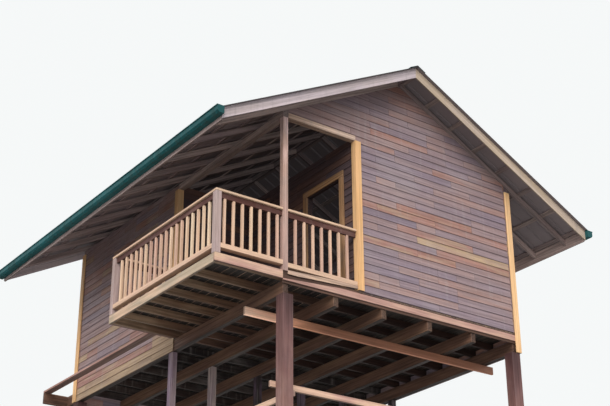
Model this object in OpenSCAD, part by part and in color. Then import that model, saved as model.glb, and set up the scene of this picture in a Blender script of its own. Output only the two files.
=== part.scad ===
// Stilt house of sawn hardwood: one L-shaped room with lapped board walls, a corner veranda
// with a gallery that stands out past the stilts, and a low gable roof of ribbed metal sheets.
// X runs to the right along the gable front, Y to the back and Z up. The origin is on the
// ground, midway under the ridge and midway along the roof.

/* [Plan] */
// Width over the two side walls
house_w = 4680; // [4400:10:5000]
// Length over the two end walls
house_l = 6590; // [6200:10:7000]
// Width of the veranda, from the left wall line to the room
veranda_w = 1390; // [1200:10:1500]
// Length of the veranda, from the front line to the back room
veranda_l = 3100; // [2800:10:3400]
// How far the gallery stands out past the left wall line
gallery_w = 1160; // [1000:10:1250]

/* [Heights] */
// Top of the deck above the ground
deck_h = 3200; // [3000:10:3500]
// Top of the wall plates above the deck
plate_h = 2630; // [2550:10:2800]
// Top of the handrail above the deck
rail_h = 1000; // [900:10:1100]

/* [Roof] */
// Slope of both roof sides in degrees
pitch = 27.92; // [24:0.01:31]
// How far the sheets reach past the side walls
eave_out = 1430; // [1330:10:1530]
// How far the barge boards stand past the end walls
rake_out = 440; // [340:10:540]
// Depth of a rafter, square to the slope
rafter_d = 90; // [70:5:110]
// Thickness of a rafter
rafter_t = 45; // [35:5:60]
// Thickness of a roof batten
batten_t = 25; // [20:1:32]
// Width of a roof batten
batten_w = 75; // [60:5:90]
// Thickness of a roof sheet
sheet_t = 2; // [1.5:0.5:3]
// Height of a sheet's ribs
rib_h = 18; // [14:1:24]
// Distance between the ribs of a sheet
rib_gap = 250; // [200:10:300]
// Depth of a barge board, square to the slope
barge_d = 160; // [140:5:190]
// Thickness of barge boards and eave boards
fascia_t = 25; // [20:1:32]
// Depth of an eave board
eave_d = 195; // [170:5:220]
// Width of an eave gutter
gutter_w = 125; // [110:5:140]
// Height of an eave gutter
gutter_h = 120; // [100:5:140]

/* [Floor frame] */
// Thickness of deck and floor boards
board_t = 25; // [20:1:32]
// Depth of a floor joist
joist_h = 115; // [100:5:140]
// Thickness of a floor joist
joist_t = 45; // [38:1:60]
// Distance from one joist to the next
joist_gap = 425; // [380:5:480]
// Depth of a bearer
bearer_h = 200; // [180:5:220]
// Thickness of a bearer
bearer_t = 90; // [75:5:100]
// Thickness of a rim board
rim_t = 38; // [30:1:45]
// How far the bearers run out past the back wall
bearer_out = 305; // [250:5:305]
// Depth of a girt
girt_h = 125; // [110:5:140]
// Thickness of a girt
girt_t = 45; // [38:1:60]

/* [Stilts] */
// Side of a corner stilt
stilt_s = 180; // [160:5:220]
// Depth of a middle stilt, which is as wide as its bearer
middle_s = 130; // [110:5:150]

/* [Walls] */
// Thickness of a wall over its boards
wall_t = 100; // [90:5:130]
// Thickness of the wall boards at the lap
siding_t = 24; // [18:1:30]
// Height of board that shows in one course
lap_h = 120; // [100:5:140]
// How far each course stands out over the one below
lap_step = 11; // [8:1:14]
// Width of a corner trim board
trim_w = 110; // [90:5:130]
// Thickness of a trim board
trim_t = 22; // [18:1:26]
// Width of the doorway between veranda and room
door_w = 860; // [760:10:960]
// Height of the doorway
door_h = 2050; // [1950:10:2150]
// Distance from the room's front corner to the doorway
door_in = 430; // [300:10:600]

/* [Veranda] */
// Side of the veranda post
post_s = 89; // [75:1:110]
// Depth of the headers over the veranda
header_h = 90; // [80:5:120]
// Side of a newel
newel_s = 95; // [80:5:105]
// Side of a baluster
baluster_s = 38; // [30:1:45]
// Distance between the middles of two balusters
baluster_gap = 155; // [135:5:170]
// Width of the handrail
handrail_w = 100; // [90:5:110]
// Thickness of the handrail
handrail_t = 38; // [30:1:45]
// Depth of the rail under the handrail
subrail_h = 90; // [70:5:100]
// Thickness of the bottom rail
footrail_t = 45; // [38:1:50]
// Gap between the deck and the bottom rail
foot_gap = 55; // [40:5:80]
// Width of the plank along the left wall
plank_w = 140; // [120:5:150]
// Thickness of the plank
plank_t = 38; // [30:1:45]

/* [Hidden] */

wall_x = house_w / 2;
front_y = -house_l / 2;
back_y = house_l / 2;
room_x = veranda_w - wall_x;
veranda_y = front_y + veranda_l;
deck_x = -wall_x - gallery_w;
frame_x = wall_x - siding_t;
frame_y = back_y - siding_t;

rim_h = board_t + joist_h;
joist_z = deck_h - rim_h;
bearer_z = joist_z - bearer_h;
skirt_h = rim_h + bearer_h;
plate_z = deck_h + plate_h;

// Six bearers share the width of the frame evenly.
bearer_count = 6;
bearer_gap = (2 * frame_x - bearer_t) / (bearer_count - 1);
bearer_y = front_y + rim_t;
bearer_l = back_y + bearer_out - bearer_y;
middle_in = 30;
inner_in = 290;
girt_in = 780;
girt_y = front_y + girt_in;
girt_out = 135;
low_girt_out = 86;
low_girt_h = 90;
low_girt_drop = 1710;
low_girt_z = deck_h - low_girt_drop;
side_girt_drop = 1840;
side_girt_z = deck_h - side_girt_drop;
side_girt_in = 20;
joist_in = 535;
room_joist_in = 450;
rim_up = 12;
rim_lip = 72;
rim_groove = 20;
plank_in = 720;
plank_x = deck_x + plank_in;
plank_end = back_y + bearer_out + girt_t;

// The roof rises from the outer top edge of the wall plates.
eave_x = wall_x + eave_out;
roof_l = house_l + 2 * rake_out;
rise = tan(pitch);
plumb = 1 / cos(pitch);
rafter_rows = 10;
batten_rows = 8;
sheet_over = 60;
sheet_l = roof_l + 2 * sheet_over;
board_x = eave_x - sheet_over;
ridge_t = 38;
cap_w = 180;
ridge_slot = 20;
batten_start = 55;
batten_end = 20;
rib_foot = 30;
rib_top = 12;
gutter_t = 2;
gutter_foot = 85;
gutter_kick = 88;
gutter_bead = 12;

// Height of the rafters' lower edge at a distance x from the ridge.
function under_z(x) = plate_z + (wall_x - x) * rise;
// Height at x of a surface that lies d above the rafters' lower edge, square to the slope.
function slope_z(x, d) = under_z(x) + d * plumb;

// A box from its lowest corner to its highest one.
module box(low, high) {
    translate(low) cube(high - low);
}

// An outline in X and Z, made t thick in Y from y on.
module upright(y, t, outline) {
    translate([0, y + t, 0]) rotate([90, 0, 0]) linear_extrude(t) polygon(outline);
}

// A strip between two surfaces of the right roof slope, from x0 to x1, cut plumb at both ends.
module slope_strip(y, t, x0, x1, d0, d1) {
    upright(y, t, [
        [x0, slope_z(x0, d0)], [x1, slope_z(x1, d0)], [x1, slope_z(x1, d1)], [x0, slope_z(x0, d1)]
    ]);
}

// Section through a lapped wall: depth from its outer face, and height above the deck. Its top
// climbs inwards by the slope given, so that rafters lie flat on it.
function wall_section(h, skirt, slope) = let (courses = ceil((h + skirt) / lap_h)) concat(
    skirt > 0 ? [[siding_t, -skirt], [siding_t, 0]] : [],
    [[wall_t, 0], [wall_t, h + wall_t * slope], [lap_step, h + lap_step * slope]],
    [for (i = [courses - 1:-1:0], edge = [1, 0]) if (i + edge < courses)
        [edge * lap_step, (i + edge) * lap_h - skirt]]
);

// A lapped wall whose boards face -Y, from x = 0 to its length.
module lapped_wall(l, h, skirt = 0, slope = 0) {
    rotate([90, 0, 90]) linear_extrude(l) polygon(wall_section(h, skirt, slope));
}

// An L of two trim boards round an outer corner at the origin that points to -X and -Y.
module corner_trim(z0, z1) {
    leg = trim_w - trim_t;
    translate([0, 0, z0]) linear_extrude(z1 - z0) polygon([
        [-trim_t, -trim_t], [leg, -trim_t], [leg, 0], [0, 0], [0, leg], [-trim_t, leg]
    ]);
}

// A balustrade panel along +X from the origin: bottom rail, balusters and the rail under the handrail.
// The first baluster stands one step from the end, or half a step where half is true.
module panel(l, half = false) {
    top = rail_h - handrail_t;
    count = round(l / baluster_gap);
    step = l / count;
    translate([0, -newel_s / 2, foot_gap]) cube([l, newel_s, footrail_t]);
    translate([0, -baluster_s / 2, top - subrail_h]) cube([l, baluster_s, subrail_h]);
    for (i = [1:half ? count : count - 1])
        translate([(half ? i - 0.5 : i) * step - baluster_s / 2, -baluster_s / 2, foot_gap + footrail_t])
            cube([baluster_s, baluster_s, top - subrail_h - foot_gap - footrail_t]);
}

module corner_stilts() {
    color("indianred") for (sx = [0, 1], sy = [0, 1])
        mirror([sx, 0, 0]) mirror([0, sy, 0])
            translate([-wall_x, front_y, 0]) cube([stilt_s, stilt_s, bearer_z]);
}

module middle_stilt(i, y) {
    translate([-frame_x + i * bearer_gap, y, 0]) cube([bearer_t, middle_s, bearer_z]);
}

// The outer bearers' middle stilts stand at the veranda's back line, the inner ones behind it.
module middle_stilts() {
    color("rosybrown") {
        for (i = [0, bearer_count - 1]) middle_stilt(i, veranda_y + middle_in);
        for (i = [1:bearer_count - 2]) {
            middle_stilt(i, veranda_y + inner_in);
            middle_stilt(i, back_y - middle_s);
        }
    }
}

module bearer(i) {
    translate([-frame_x + i * bearer_gap, bearer_y, bearer_z]) cube([bearer_t, bearer_l, bearer_h]);
}

module left_bearer() {
    color("peru") bearer(0);
}

module bearers() {
    color("saddlebrown") for (i = [1:bearer_count - 1]) bearer(i);
}

module front_girt() {
    x = wall_x + girt_out;
    color("rosybrown") box([-x, girt_y, bearer_z - girt_h], [x, girt_y + girt_t, bearer_z]);
}

// Low boards nailed behind the front stilts and before the back ones.
module low_girts() {
    x = wall_x + low_girt_out;
    y = front_y + stilt_s;
    color("burlywood") for (s = [0, 1]) mirror([0, s, 0])
        box([-x, y, low_girt_z], [x, y + girt_t, low_girt_z + low_girt_h]);
}

// Boards from front to back, nailed to the inner faces of the corner stilts.
module side_girts() {
    x = stilt_s - wall_x;
    y = back_y - side_girt_in;
    color("sienna") for (s = [0, 1]) mirror([s, 0, 0])
        box([x, -y, side_girt_z], [x + girt_t, y, side_girt_z + low_girt_h]);
}

module back_end_beam() {
    color("saddlebrown")
        box([plank_x, back_y + bearer_out, bearer_z], [frame_x, plank_end, joist_z]);
}

// Joists that lie a step apart from y0 on, and a last one whose back face is at y1.
module joists(x0, x1, y0, y1) {
    last = y1 - joist_t;
    for (y = concat([for (y = [y0:joist_gap:last - joist_gap / 2]) y], [last]))
        translate([x0, y, joist_z]) cube([x1 - x0, joist_t, joist_h]);
}

module veranda_joists() {
    y0 = front_y + rim_t;
    color("sienna") {
        box([deck_x + rim_t, y0, joist_z], [frame_x, y0 + joist_t, joist_z + joist_h]);
        joists(deck_x + rim_t, frame_x, y0 + joist_in, veranda_y - rim_t);
    }
}

module room_joists() {
    color("sienna") joists(-frame_x, frame_x, veranda_y + room_joist_in, frame_y);
}

module front_rim_left() {
    color("lightsalmon") box([deck_x, front_y, joist_z + rim_up], [-wall_x, front_y + rim_t, deck_h]);
}

// Its upper part is set back under the edge of the deck boards.
module front_rim_right() {
    low = joist_z + rim_up;
    color("lightsalmon") translate([-wall_x, front_y, 0]) rotate([90, 0, 90])
        linear_extrude(wall_x + frame_x) polygon([
            [0, low], [rim_t, low], [rim_t, joist_z + joist_h], [rim_groove, joist_z + joist_h],
            [rim_groove, low + rim_lip], [0, low + rim_lip]
        ]);
}

module left_rim() {
    color("wheat") box([deck_x, front_y + rim_t, joist_z], [deck_x + rim_t, veranda_y, deck_h]);
}

module gallery_end_rim() {
    color("tan")
        box([deck_x + rim_t, veranda_y - rim_t, joist_z], [-wall_x - trim_t, veranda_y, deck_h]);
}

module veranda_deck() {
    y0 = front_y + rim_t;
    y1 = veranda_y - rim_t;
    color("tan") translate([0, 0, deck_h - board_t]) linear_extrude(board_t) polygon([
        [deck_x + rim_t, y0], [-wall_x, y0], [-wall_x, front_y], [room_x, front_y], [room_x, veranda_y],
        [-frame_x, veranda_y], [-frame_x, y1], [deck_x + rim_t, y1]
    ]);
}

module room_floor() {
    color("tan") translate([0, 0, deck_h - board_t]) linear_extrude(board_t) polygon([
        [room_x, front_y], [frame_x, front_y], [frame_x, frame_y], [-frame_x, frame_y],
        [-frame_x, veranda_y], [room_x, veranda_y]
    ]);
}

module side_plank() {
    color("rosybrown")
        box([plank_x, veranda_y, joist_z], [plank_x + plank_w, plank_end, joist_z + plank_t]);
}

module front_wall() {
    color("rosybrown") translate([room_x, front_y, deck_h])
        lapped_wall(wall_x - wall_t - room_x, plate_h);
}

module right_wall() {
    color("rosybrown") translate([wall_x, front_y, deck_h]) rotate([0, 0, 90])
        lapped_wall(house_l, plate_h, skirt_h, rise);
}

module back_wall() {
    color("rosybrown") difference() {
        translate([wall_x - wall_t, back_y, deck_h]) rotate([0, 0, 180])
            lapped_wall(house_w - 2 * wall_t, plate_h, skirt_h);
        for (i = [0:bearer_count - 1])
            translate([-frame_x + i * bearer_gap, frame_y - 1, bearer_z - 1])
                cube([bearer_t, siding_t + 2, bearer_h + 1]);
    }
}

module left_wall() {
    color("rosybrown") translate([-wall_x, back_y, deck_h]) rotate([0, 0, -90])
        lapped_wall(back_y - veranda_y, plate_h, skirt_h, rise);
}

module veranda_back_wall() {
    color("rosybrown") translate([-wall_x + wall_t, veranda_y, deck_h])
        lapped_wall(veranda_w - wall_t, plate_h);
}

module veranda_side_wall() {
    l = veranda_l;
    color("rosybrown") translate([room_x, veranda_y + wall_t, deck_h]) rotate([0, 0, -90]) difference() {
        lapped_wall(l, plate_h);
        translate([l + wall_t - door_in - door_w, -1, -1]) cube([door_w, wall_t + 2, door_h + 1]);
    }
}

// The part of a lapped front over the wall plates, between the side walls and up to the rafters.
// Its courses carry on those of the wall under it, which may have a skirt.
module gable(skirt = 0) {
    x = wall_x - wall_t;
    intersection() {
        translate([-x, front_y, deck_h]) lapped_wall(2 * x, plate_h + wall_x * rise, skirt);
        upright(front_y - 1, wall_t + 2,
            [[-x, plate_z], [x, plate_z], [x, under_z(x)], [0, under_z(0)], [-x, under_z(x)]]);
    }
}

module front_gable() {
    color("rosybrown") gable();
}

module back_gable() {
    color("rosybrown") mirror([0, 1, 0]) gable(skirt_h);
}

module corner_trims() {
    low = deck_h - skirt_h;
    high = plate_z - header_h;
    color("goldenrod") {
        translate([room_x, front_y, 0]) corner_trim(deck_h, high);
        translate([-wall_x, veranda_y, 0]) corner_trim(deck_h, high);
        translate([wall_x, front_y, 0]) mirror([1, 0, 0]) corner_trim(low, high);
        for (s = [0, 1]) mirror([s, 0, 0]) difference() {
            translate([-wall_x, back_y, 0]) mirror([0, 1, 0]) corner_trim(low, high);
            translate([-frame_x, back_y - 1, low - 1]) cube([bearer_t, trim_t + 2, bearer_h + 1]);
        }
    }
}

// The jambs and head that line the doorway, standing proud of the boards.
module doorway_trim() {
    y0 = front_y + door_in;
    y1 = y0 + door_w;
    color("goldenrod") translate([room_x - trim_t, 0, deck_h]) rotate([90, 0, 90])
        linear_extrude(trim_t) polygon([
            [y0 - trim_w, 0], [y0, 0], [y0, door_h], [y1, door_h], [y1, 0], [y1 + trim_w, 0],
            [y1 + trim_w, door_h + trim_w], [y0 - trim_w, door_h + trim_w]
        ]);
}

module veranda_post() {
    color("rosybrown") translate([-wall_x, front_y, deck_h]) cube([post_s, post_s, plate_h - header_h]);
}

module front_header() {
    color("sienna")
        box([-wall_x + wall_t, front_y, plate_z - header_h], [room_x, front_y + wall_t, plate_z]);
}

// Its top is bevelled to the roof slope, as the tops of the side walls are.
module side_header() {
    x = wall_x - wall_t;
    color("sienna") upright(front_y, veranda_l,
        [[-wall_x, plate_z - header_h], [-x, plate_z - header_h], [-x, under_z(x)], [-wall_x, plate_z]]);
}

module newels() {
    color("burlywood") for (y = [front_y, veranda_y - newel_s])
        translate([deck_x, y, deck_h]) cube([newel_s, newel_s, rail_h - handrail_t]);
}

module front_balustrade_left() {
    color("burlywood") translate([deck_x + newel_s, front_y + newel_s / 2, deck_h])
        panel(gallery_w - newel_s, half = true);
}

module front_balustrade_right() {
    color("burlywood") translate([-wall_x + post_s, front_y + newel_s / 2, deck_h])
        panel(veranda_w - post_s - trim_t);
}

module left_balustrade() {
    color("burlywood") translate([deck_x + newel_s / 2, front_y + newel_s, deck_h]) rotate([0, 0, 90])
        panel(veranda_l - 2 * newel_s);
}

module end_balustrade() {
    color("burlywood") translate([deck_x + newel_s, veranda_y - newel_s / 2, deck_h])
        panel(gallery_w - newel_s - trim_t, half = true);
}

module handrail() {
    side = (handrail_w - newel_s) / 2;
    x0 = deck_x - side;
    x1 = -wall_x - trim_t;
    y0 = front_y - side;
    y1 = veranda_y + side;
    color("burlywood") translate([0, 0, deck_h + rail_h - handrail_t]) linear_extrude(handrail_t) {
        polygon([
            [x0, y0], [-wall_x, y0], [-wall_x, y0 + handrail_w], [x0 + handrail_w, y0 + handrail_w],
            [x0 + handrail_w, y1 - handrail_w], [x1, y1 - handrail_w], [x1, y1], [x0, y1]
        ]);
        translate([-wall_x + post_s, y0]) square([veranda_w - post_s - trim_t, handrail_w]);
    }
}

module rafters() {
    gap = (house_l - rafter_t) / (rafter_rows - 1);
    end = board_x - fascia_t;
    for (i = [0:rafter_rows - 1])
        slope_strip(front_y + i * gap, rafter_t, ridge_t / 2, end, 0, rafter_d);
}

module left_rafters() {
    color("saddlebrown") mirror([1, 0, 0]) rafters();
}

module right_rafters() {
    color("saddlebrown") rafters();
}

// Battens lie flat on the rafters, from barge board to barge board.
module battens() {
    last = (board_x - fascia_t) * plumb - batten_w - batten_end;
    for (i = [0:batten_rows - 1])
        translate([0, -roof_l / 2 + fascia_t, slope_z(0, rafter_d)]) rotate([0, pitch, 0])
            translate([batten_start + i * (last - batten_start) / (batten_rows - 1), 0, 0])
                cube([batten_w, roof_l - 2 * fascia_t, batten_t]);
}

module roof_battens() {
    color("saddlebrown") for (s = [0, 1]) mirror([s, 0, 0]) battens();
}

module ridge_board() {
    color("saddlebrown") box([-ridge_t / 2, -roof_l / 2 + fascia_t, under_z(0)],
        [ridge_t / 2, roof_l / 2 - fascia_t, slope_z(ridge_t / 2, rafter_d)]);
}

module barge_boards() {
    top = rafter_d + batten_t;
    color("tan") for (sy = [0, 1], sx = [0, 1])
        mirror([0, sy, 0]) mirror([sx, 0, 0])
            slope_strip(-roof_l / 2, fascia_t, 0, board_x, top - barge_d, top);
}

module eave_boards() {
    y = roof_l / 2 - fascia_t;
    top = slope_z(board_x, rafter_d + batten_t);
    color("sienna") for (s = [0, 1]) mirror([s, 0, 0])
        box([board_x - fascia_t, -y, top - eave_d], [board_x, y, top]);
}

// A moulded metal gutter on each eave board, closed at both ends, its rim level with the sheets' ribs.
module eave_gutters() {
    top = slope_z(eave_x, rafter_d + batten_t + sheet_t + rib_h);
    face = gutter_w - gutter_bead;
    inner = face - gutter_t;
    color("seagreen") for (s = [0, 1]) mirror([s, 0, 0])
        translate([board_x, 0, top]) difference() {
            upright(-sheet_l / 2 - gutter_t, sheet_l + 2 * gutter_t, [
                [0, 0], [0, -gutter_h], [gutter_foot, -gutter_h], [face, -gutter_kick],
                [face, -gutter_bead], [gutter_w, -gutter_bead], [gutter_w, 0]
            ]);
            upright(-sheet_l / 2, sheet_l, [
                [gutter_t, gutter_t], [gutter_t, gutter_t - gutter_h],
                [gutter_foot - gutter_t, gutter_t - gutter_h], [inner, -gutter_kick], [inner, gutter_t]
            ]);
        }
}

// Section through the ribbed sheets across the slope, with its ribs standing up from flat pans.
function rib_line(lift) = let (count = floor(sheet_l / rib_gap)) concat(
    [[0, lift]],
    [for (i = [0:count - 1], p = [[-rib_foot, 0], [-rib_top, rib_h], [rib_top, rib_h], [rib_foot, 0]])
        [sheet_l / 2 + (i - (count - 1) / 2) * rib_gap + p[0], lift + p[1]]],
    [[sheet_l, lift]]
);

module sheets() {
    top = rib_line(sheet_t);
    low = rib_line(0);
    outline = concat(top, [for (i = [len(low) - 1:-1:0]) low[i]]);
    translate([0, -sheet_l / 2, slope_z(0, rafter_d + batten_t)]) rotate([0, pitch, 0])
        translate([ridge_slot, 0, 0]) rotate([90, 0, 90])
            linear_extrude(eave_x * plumb - ridge_slot) polygon(outline);
}

module left_sheets() {
    color("seagreen") mirror([1, 0, 0]) sheets();
}

module right_sheets() {
    color("seagreen") sheets();
}

// A folded strip over the ridge that rests on the ribs of both slopes.
module ridge_cap() {
    d = rafter_d + batten_t + sheet_t + rib_h;
    x = cap_w / plumb;
    color("seagreen") upright(-sheet_l / 2, sheet_l, [
        [-x, slope_z(x, d)], [0, slope_z(0, d)], [x, slope_z(x, d)], [x, slope_z(x, d + sheet_t)],
        [0, slope_z(0, d + sheet_t)], [-x, slope_z(x, d + sheet_t)]
    ]);
}

corner_stilts();
middle_stilts();
left_bearer();
bearers();
front_girt();
low_girts();
side_girts();
back_end_beam();
veranda_joists();
room_joists();
front_rim_left();
front_rim_right();
left_rim();
gallery_end_rim();
veranda_deck();
room_floor();
side_plank();
front_wall();
right_wall();
back_wall();
left_wall();
veranda_back_wall();
veranda_side_wall();
front_gable();
back_gable();
corner_trims();
doorway_trim();
veranda_post();
front_header();
side_header();
newels();
front_balustrade_left();
front_balustrade_right();
left_balustrade();
end_balustrade();
handrail();
left_rafters();
right_rafters();
roof_battens();
ridge_board();
barge_boards();
eave_boards();
eave_gutters();
left_sheets();
right_sheets();
ridge_cap();
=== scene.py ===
"""Looks of a hardwood house on stilts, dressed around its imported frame.

The house stands on square stilts. It has walls of lapped boards, a corner veranda with a gallery that
stands out past the stilts, and a low gable roof of ribbed metal sheets on rafters and battens.
All sizes are in metres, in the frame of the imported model: X to the right along the gable front, Y to
the back and Z up from the ground.
"""

import logging
import math
import random
from collections.abc import Iterable, Sequence
from dataclasses import dataclass, field
from enum import Enum
from functools import cache
from typing import TypeVar

import bmesh
import bpy
from mathutils import Matrix, Vector

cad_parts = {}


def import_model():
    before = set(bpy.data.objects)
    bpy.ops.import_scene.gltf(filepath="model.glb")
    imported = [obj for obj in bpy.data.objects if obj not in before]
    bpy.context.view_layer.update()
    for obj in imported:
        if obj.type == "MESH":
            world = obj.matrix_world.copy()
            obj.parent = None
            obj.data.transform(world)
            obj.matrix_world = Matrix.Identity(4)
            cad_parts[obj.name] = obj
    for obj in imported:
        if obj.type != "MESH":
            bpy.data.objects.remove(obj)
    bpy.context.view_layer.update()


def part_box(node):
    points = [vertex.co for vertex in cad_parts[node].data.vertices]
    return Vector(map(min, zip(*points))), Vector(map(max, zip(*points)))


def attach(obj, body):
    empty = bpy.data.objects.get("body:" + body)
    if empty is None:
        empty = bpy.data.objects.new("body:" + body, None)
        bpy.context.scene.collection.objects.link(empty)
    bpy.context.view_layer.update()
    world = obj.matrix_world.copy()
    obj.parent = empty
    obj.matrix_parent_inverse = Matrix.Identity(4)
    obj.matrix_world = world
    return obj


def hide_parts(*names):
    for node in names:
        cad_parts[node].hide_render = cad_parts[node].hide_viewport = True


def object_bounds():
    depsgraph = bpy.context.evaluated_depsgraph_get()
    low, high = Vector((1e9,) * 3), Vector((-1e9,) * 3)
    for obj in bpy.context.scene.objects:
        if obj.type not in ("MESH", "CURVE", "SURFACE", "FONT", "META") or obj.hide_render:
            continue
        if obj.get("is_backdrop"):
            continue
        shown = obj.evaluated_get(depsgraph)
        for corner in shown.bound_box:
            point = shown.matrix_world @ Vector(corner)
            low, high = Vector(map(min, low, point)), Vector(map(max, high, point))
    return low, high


LOG = logging.getLogger("stilt_house")
BODY = "root"

Pair = tuple[float, float]
Triple = tuple[float, float, float]
Colour = Triple
Pin = bpy.types.NodeSocket
Element = TypeVar("Element")


class Along(Enum):
    """The direction that a timber's grain follows, with the number of its axis."""

    X = 0
    Y = 1
    Z = 2

    def turn(self) -> Matrix:
        """Returns the turn that lays a timber's own length along this direction."""
        turns = (
            Matrix.Identity(4),
            Matrix.Rotation(math.pi / 2, 4, "Z"),
            Matrix.Rotation(-math.pi / 2, 4, "Y"),
        )
        return turns[self.value]

    def order(self, span: Vector) -> Vector:
        """Puts a box's size into a timber's own order.

        Args:
            span: the box's size along X, Y and Z.

        Returns:
            The length along the grain, the width and the thickness.
        """
        size = span.copy()
        size[0], size[self.value] = span[self.value], span[0]
        return size


# Shader nodes


def rgba(colour: Colour) -> tuple[float, float, float, float]:
    """Adds an alpha of 1 to a colour."""
    return (*colour, 1.0)


class Wiring:
    """Adds nodes to one node tree and links them."""

    def __init__(self, tree: bpy.types.NodeTree) -> None:
        """Takes the tree to add to."""
        self.tree = tree

    def feed(self, target: Pin, value: object) -> None:
        """Links a socket to an input, or sets a plain value on it.

        Args:
            target: the input socket.
            value: an output socket, or a number, vector or colour.
        """
        if isinstance(value, Pin):
            self.tree.links.new(value, target)
        else:
            target.default_value = value

    def maths(self, how: str, *values: object, clamp: bool = False) -> Pin:
        """Adds a Math node.

        Args:
            how: the node's operation.
            values: sockets or numbers for its inputs.
            clamp: whether the result is held between 0 and 1.

        Returns:
            The node's result.
        """
        node = self.tree.nodes.new("ShaderNodeMath")
        node.operation = how
        node.use_clamp = clamp
        for target, value in zip(node.inputs, values):
            self.feed(target, value)
        return node.outputs[0]

    def spread(self, value: Pin, low: float, high: float, to: Pair = (0.0, 1.0)) -> Pin:
        """Adds a Map Range node that takes low..high to a range, held at its ends.

        Args:
            value: the value to map.
            low: the value that gives the range's start.
            high: the value that gives its end.
            to: the range.

        Returns:
            The mapped value.
        """
        node = self.tree.nodes.new("ShaderNodeMapRange")
        node.interpolation_type = "SMOOTHSTEP"
        for target, number in zip(node.inputs, (value, low, high, *to)):
            self.feed(target, number)
        return node.outputs[0]

    def noise(self, place: Pin, stretch: Triple, detail: float = 3.0, rough: float = 0.55) -> Pin:
        """Adds a Noise Texture whose cells have their own size along each axis.

        Args:
            place: the coordinates.
            stretch: how many cells a metre holds along each axis.
            detail: the noise's octaves.
            rough: how strong the fine octaves are.

        Returns:
            The noise's value.
        """
        mapping = self.tree.nodes.new("ShaderNodeMapping")
        self.feed(mapping.inputs["Scale"], stretch)
        self.feed(mapping.inputs["Vector"], place)
        texture = self.tree.nodes.new("ShaderNodeTexNoise")
        settings = {"Vector": mapping.outputs[0], "Scale": 1.0, "Detail": detail, "Roughness": rough}
        for name, value in settings.items():
            self.feed(texture.inputs[name], value)
        return texture.outputs["Fac"]

    def blend(self, share: object, first: object, second: object, how: str = "MIX") -> Pin:
        """Adds a Mix node for two colours.

        Args:
            share: how much of the second colour is used.
            first: the first colour.
            second: the second colour.
            how: the node's blend type.

        Returns:
            The mixed colour.
        """
        node = self.tree.nodes.new("ShaderNodeMix")
        node.data_type = "RGBA"
        node.blend_type = how
        for socket, value in ((0, share), (6, first), (7, second)):
            self.feed(node.inputs[socket], value)
        return node.outputs[2]

    def part(self, vector: Pin, axis: str) -> Pin:
        """Takes one coordinate out of a vector.

        Args:
            vector: the vector.
            axis: the coordinate's letter.

        Returns:
            The coordinate.
        """
        node = self.tree.nodes.new("ShaderNodeSeparateXYZ")
        self.feed(node.inputs[0], vector)
        return node.outputs[axis]

    def attribute(self, name: str, output: str = "Fac") -> Pin:
        """Reads one of the piece's own attributes.

        Args:
            name: the attribute's name.
            output: which of the node's outputs is used.

        Returns:
            The attribute's value.
        """
        node = self.tree.nodes.new("ShaderNodeAttribute")
        node.attribute_name = name
        return node.outputs[output]

    def place(self, effect: type["Effect"], values: dict[str, object]) -> bpy.types.NodeOutputs:
        """Puts a shared node group into the tree.

        Args:
            effect: the group's class.
            values: what each of its inputs gets.

        Returns:
            The group node's outputs.
        """
        node = self.tree.nodes.new("ShaderNodeGroup")
        node.node_tree = effect.shared().tree
        for name, value in values.items():
            self.feed(node.inputs[name], value)
        return node.outputs


class Effect(Wiring):
    """A shader node group that several finishes share. Its first input is the place on the surface."""

    def __init__(self, name: str, inputs: Sequence[str], outputs: Sequence[str]) -> None:
        """Makes an empty group.

        Args:
            name: the group's name.
            inputs: the names of its inputs after the place.
            outputs: the names of its outputs.
        """
        super().__init__(bpy.data.node_groups.new(name, "ShaderNodeTree"))
        sockets = [("Place", "INPUT", "NodeSocketVector")]
        sockets += [(label, "INPUT", "NodeSocketFloat") for label in inputs]
        sockets += [(label, "OUTPUT", "NodeSocketFloat") for label in outputs]
        for label, way, kind in sockets:
            self.tree.interface.new_socket(name=label, in_out=way, socket_type=kind)
        self.given = self.tree.nodes.new("NodeGroupInput").outputs
        self.result = self.tree.nodes.new("NodeGroupOutput").inputs

    @classmethod
    @cache
    def shared(cls) -> "Effect":
        """Returns the group, which is built once."""
        return cls()

    def put(self, values: dict[str, Pin]) -> None:
        """Links a value to each of the group's outputs."""
        for name, value in values.items():
            self.feed(self.result[name], value)


class Grain(Effect):
    """Sawn timber's grain: long streaks, fine fibre and broad mottling along the timber's own length."""

    # How many cells of each noise a metre holds, along the timber and across it
    STREAK_CELLS = (0.9, 26.0, 34.0)
    FIBRE_CELLS = (7.0, 210.0, 240.0)
    MOTTLE_CELLS = (1.4, 5.0, 6.0)
    # How strong the fibre is beside the streaks, in the shade and in the relief
    FIBRE_SHADE = 0.35
    FIBRE_RELIEF = 0.5

    def __init__(self) -> None:
        """Builds the group, which gives streaks, their shade, a shift of the tone and a relief's height."""
        super().__init__("timber_grain", ("Streak", "Mottle"), ("Streaks", "Shade", "Shift", "Height"))
        place = self.given["Place"]
        streaks = self.spread(self.noise(place, self.STREAK_CELLS, detail=4.0, rough=0.6), 0.36, 0.66)
        fibre = self.spread(self.noise(place, self.FIBRE_CELLS, detail=2.0, rough=0.5), 0.32, 0.68)
        mottle = self.spread(self.noise(place, self.MOTTLE_CELLS, rough=0.5), 0.34, 0.66)
        marks = self.maths("MULTIPLY_ADD", fibre, self.FIBRE_SHADE, streaks)
        dark = self.maths("MULTIPLY", marks, self.given["Streak"])
        off_middle = self.maths("SUBTRACT", mottle, 0.5)
        self.put({
            "Streaks": streaks,
            "Shade": self.maths("SUBTRACT", 1.0, dark, clamp=True),
            "Shift": self.maths("MULTIPLY", off_middle, self.given["Mottle"]),
            "Height": self.maths("MULTIPLY_ADD", fibre, self.FIBRE_RELIEF, streaks),
        })


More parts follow.
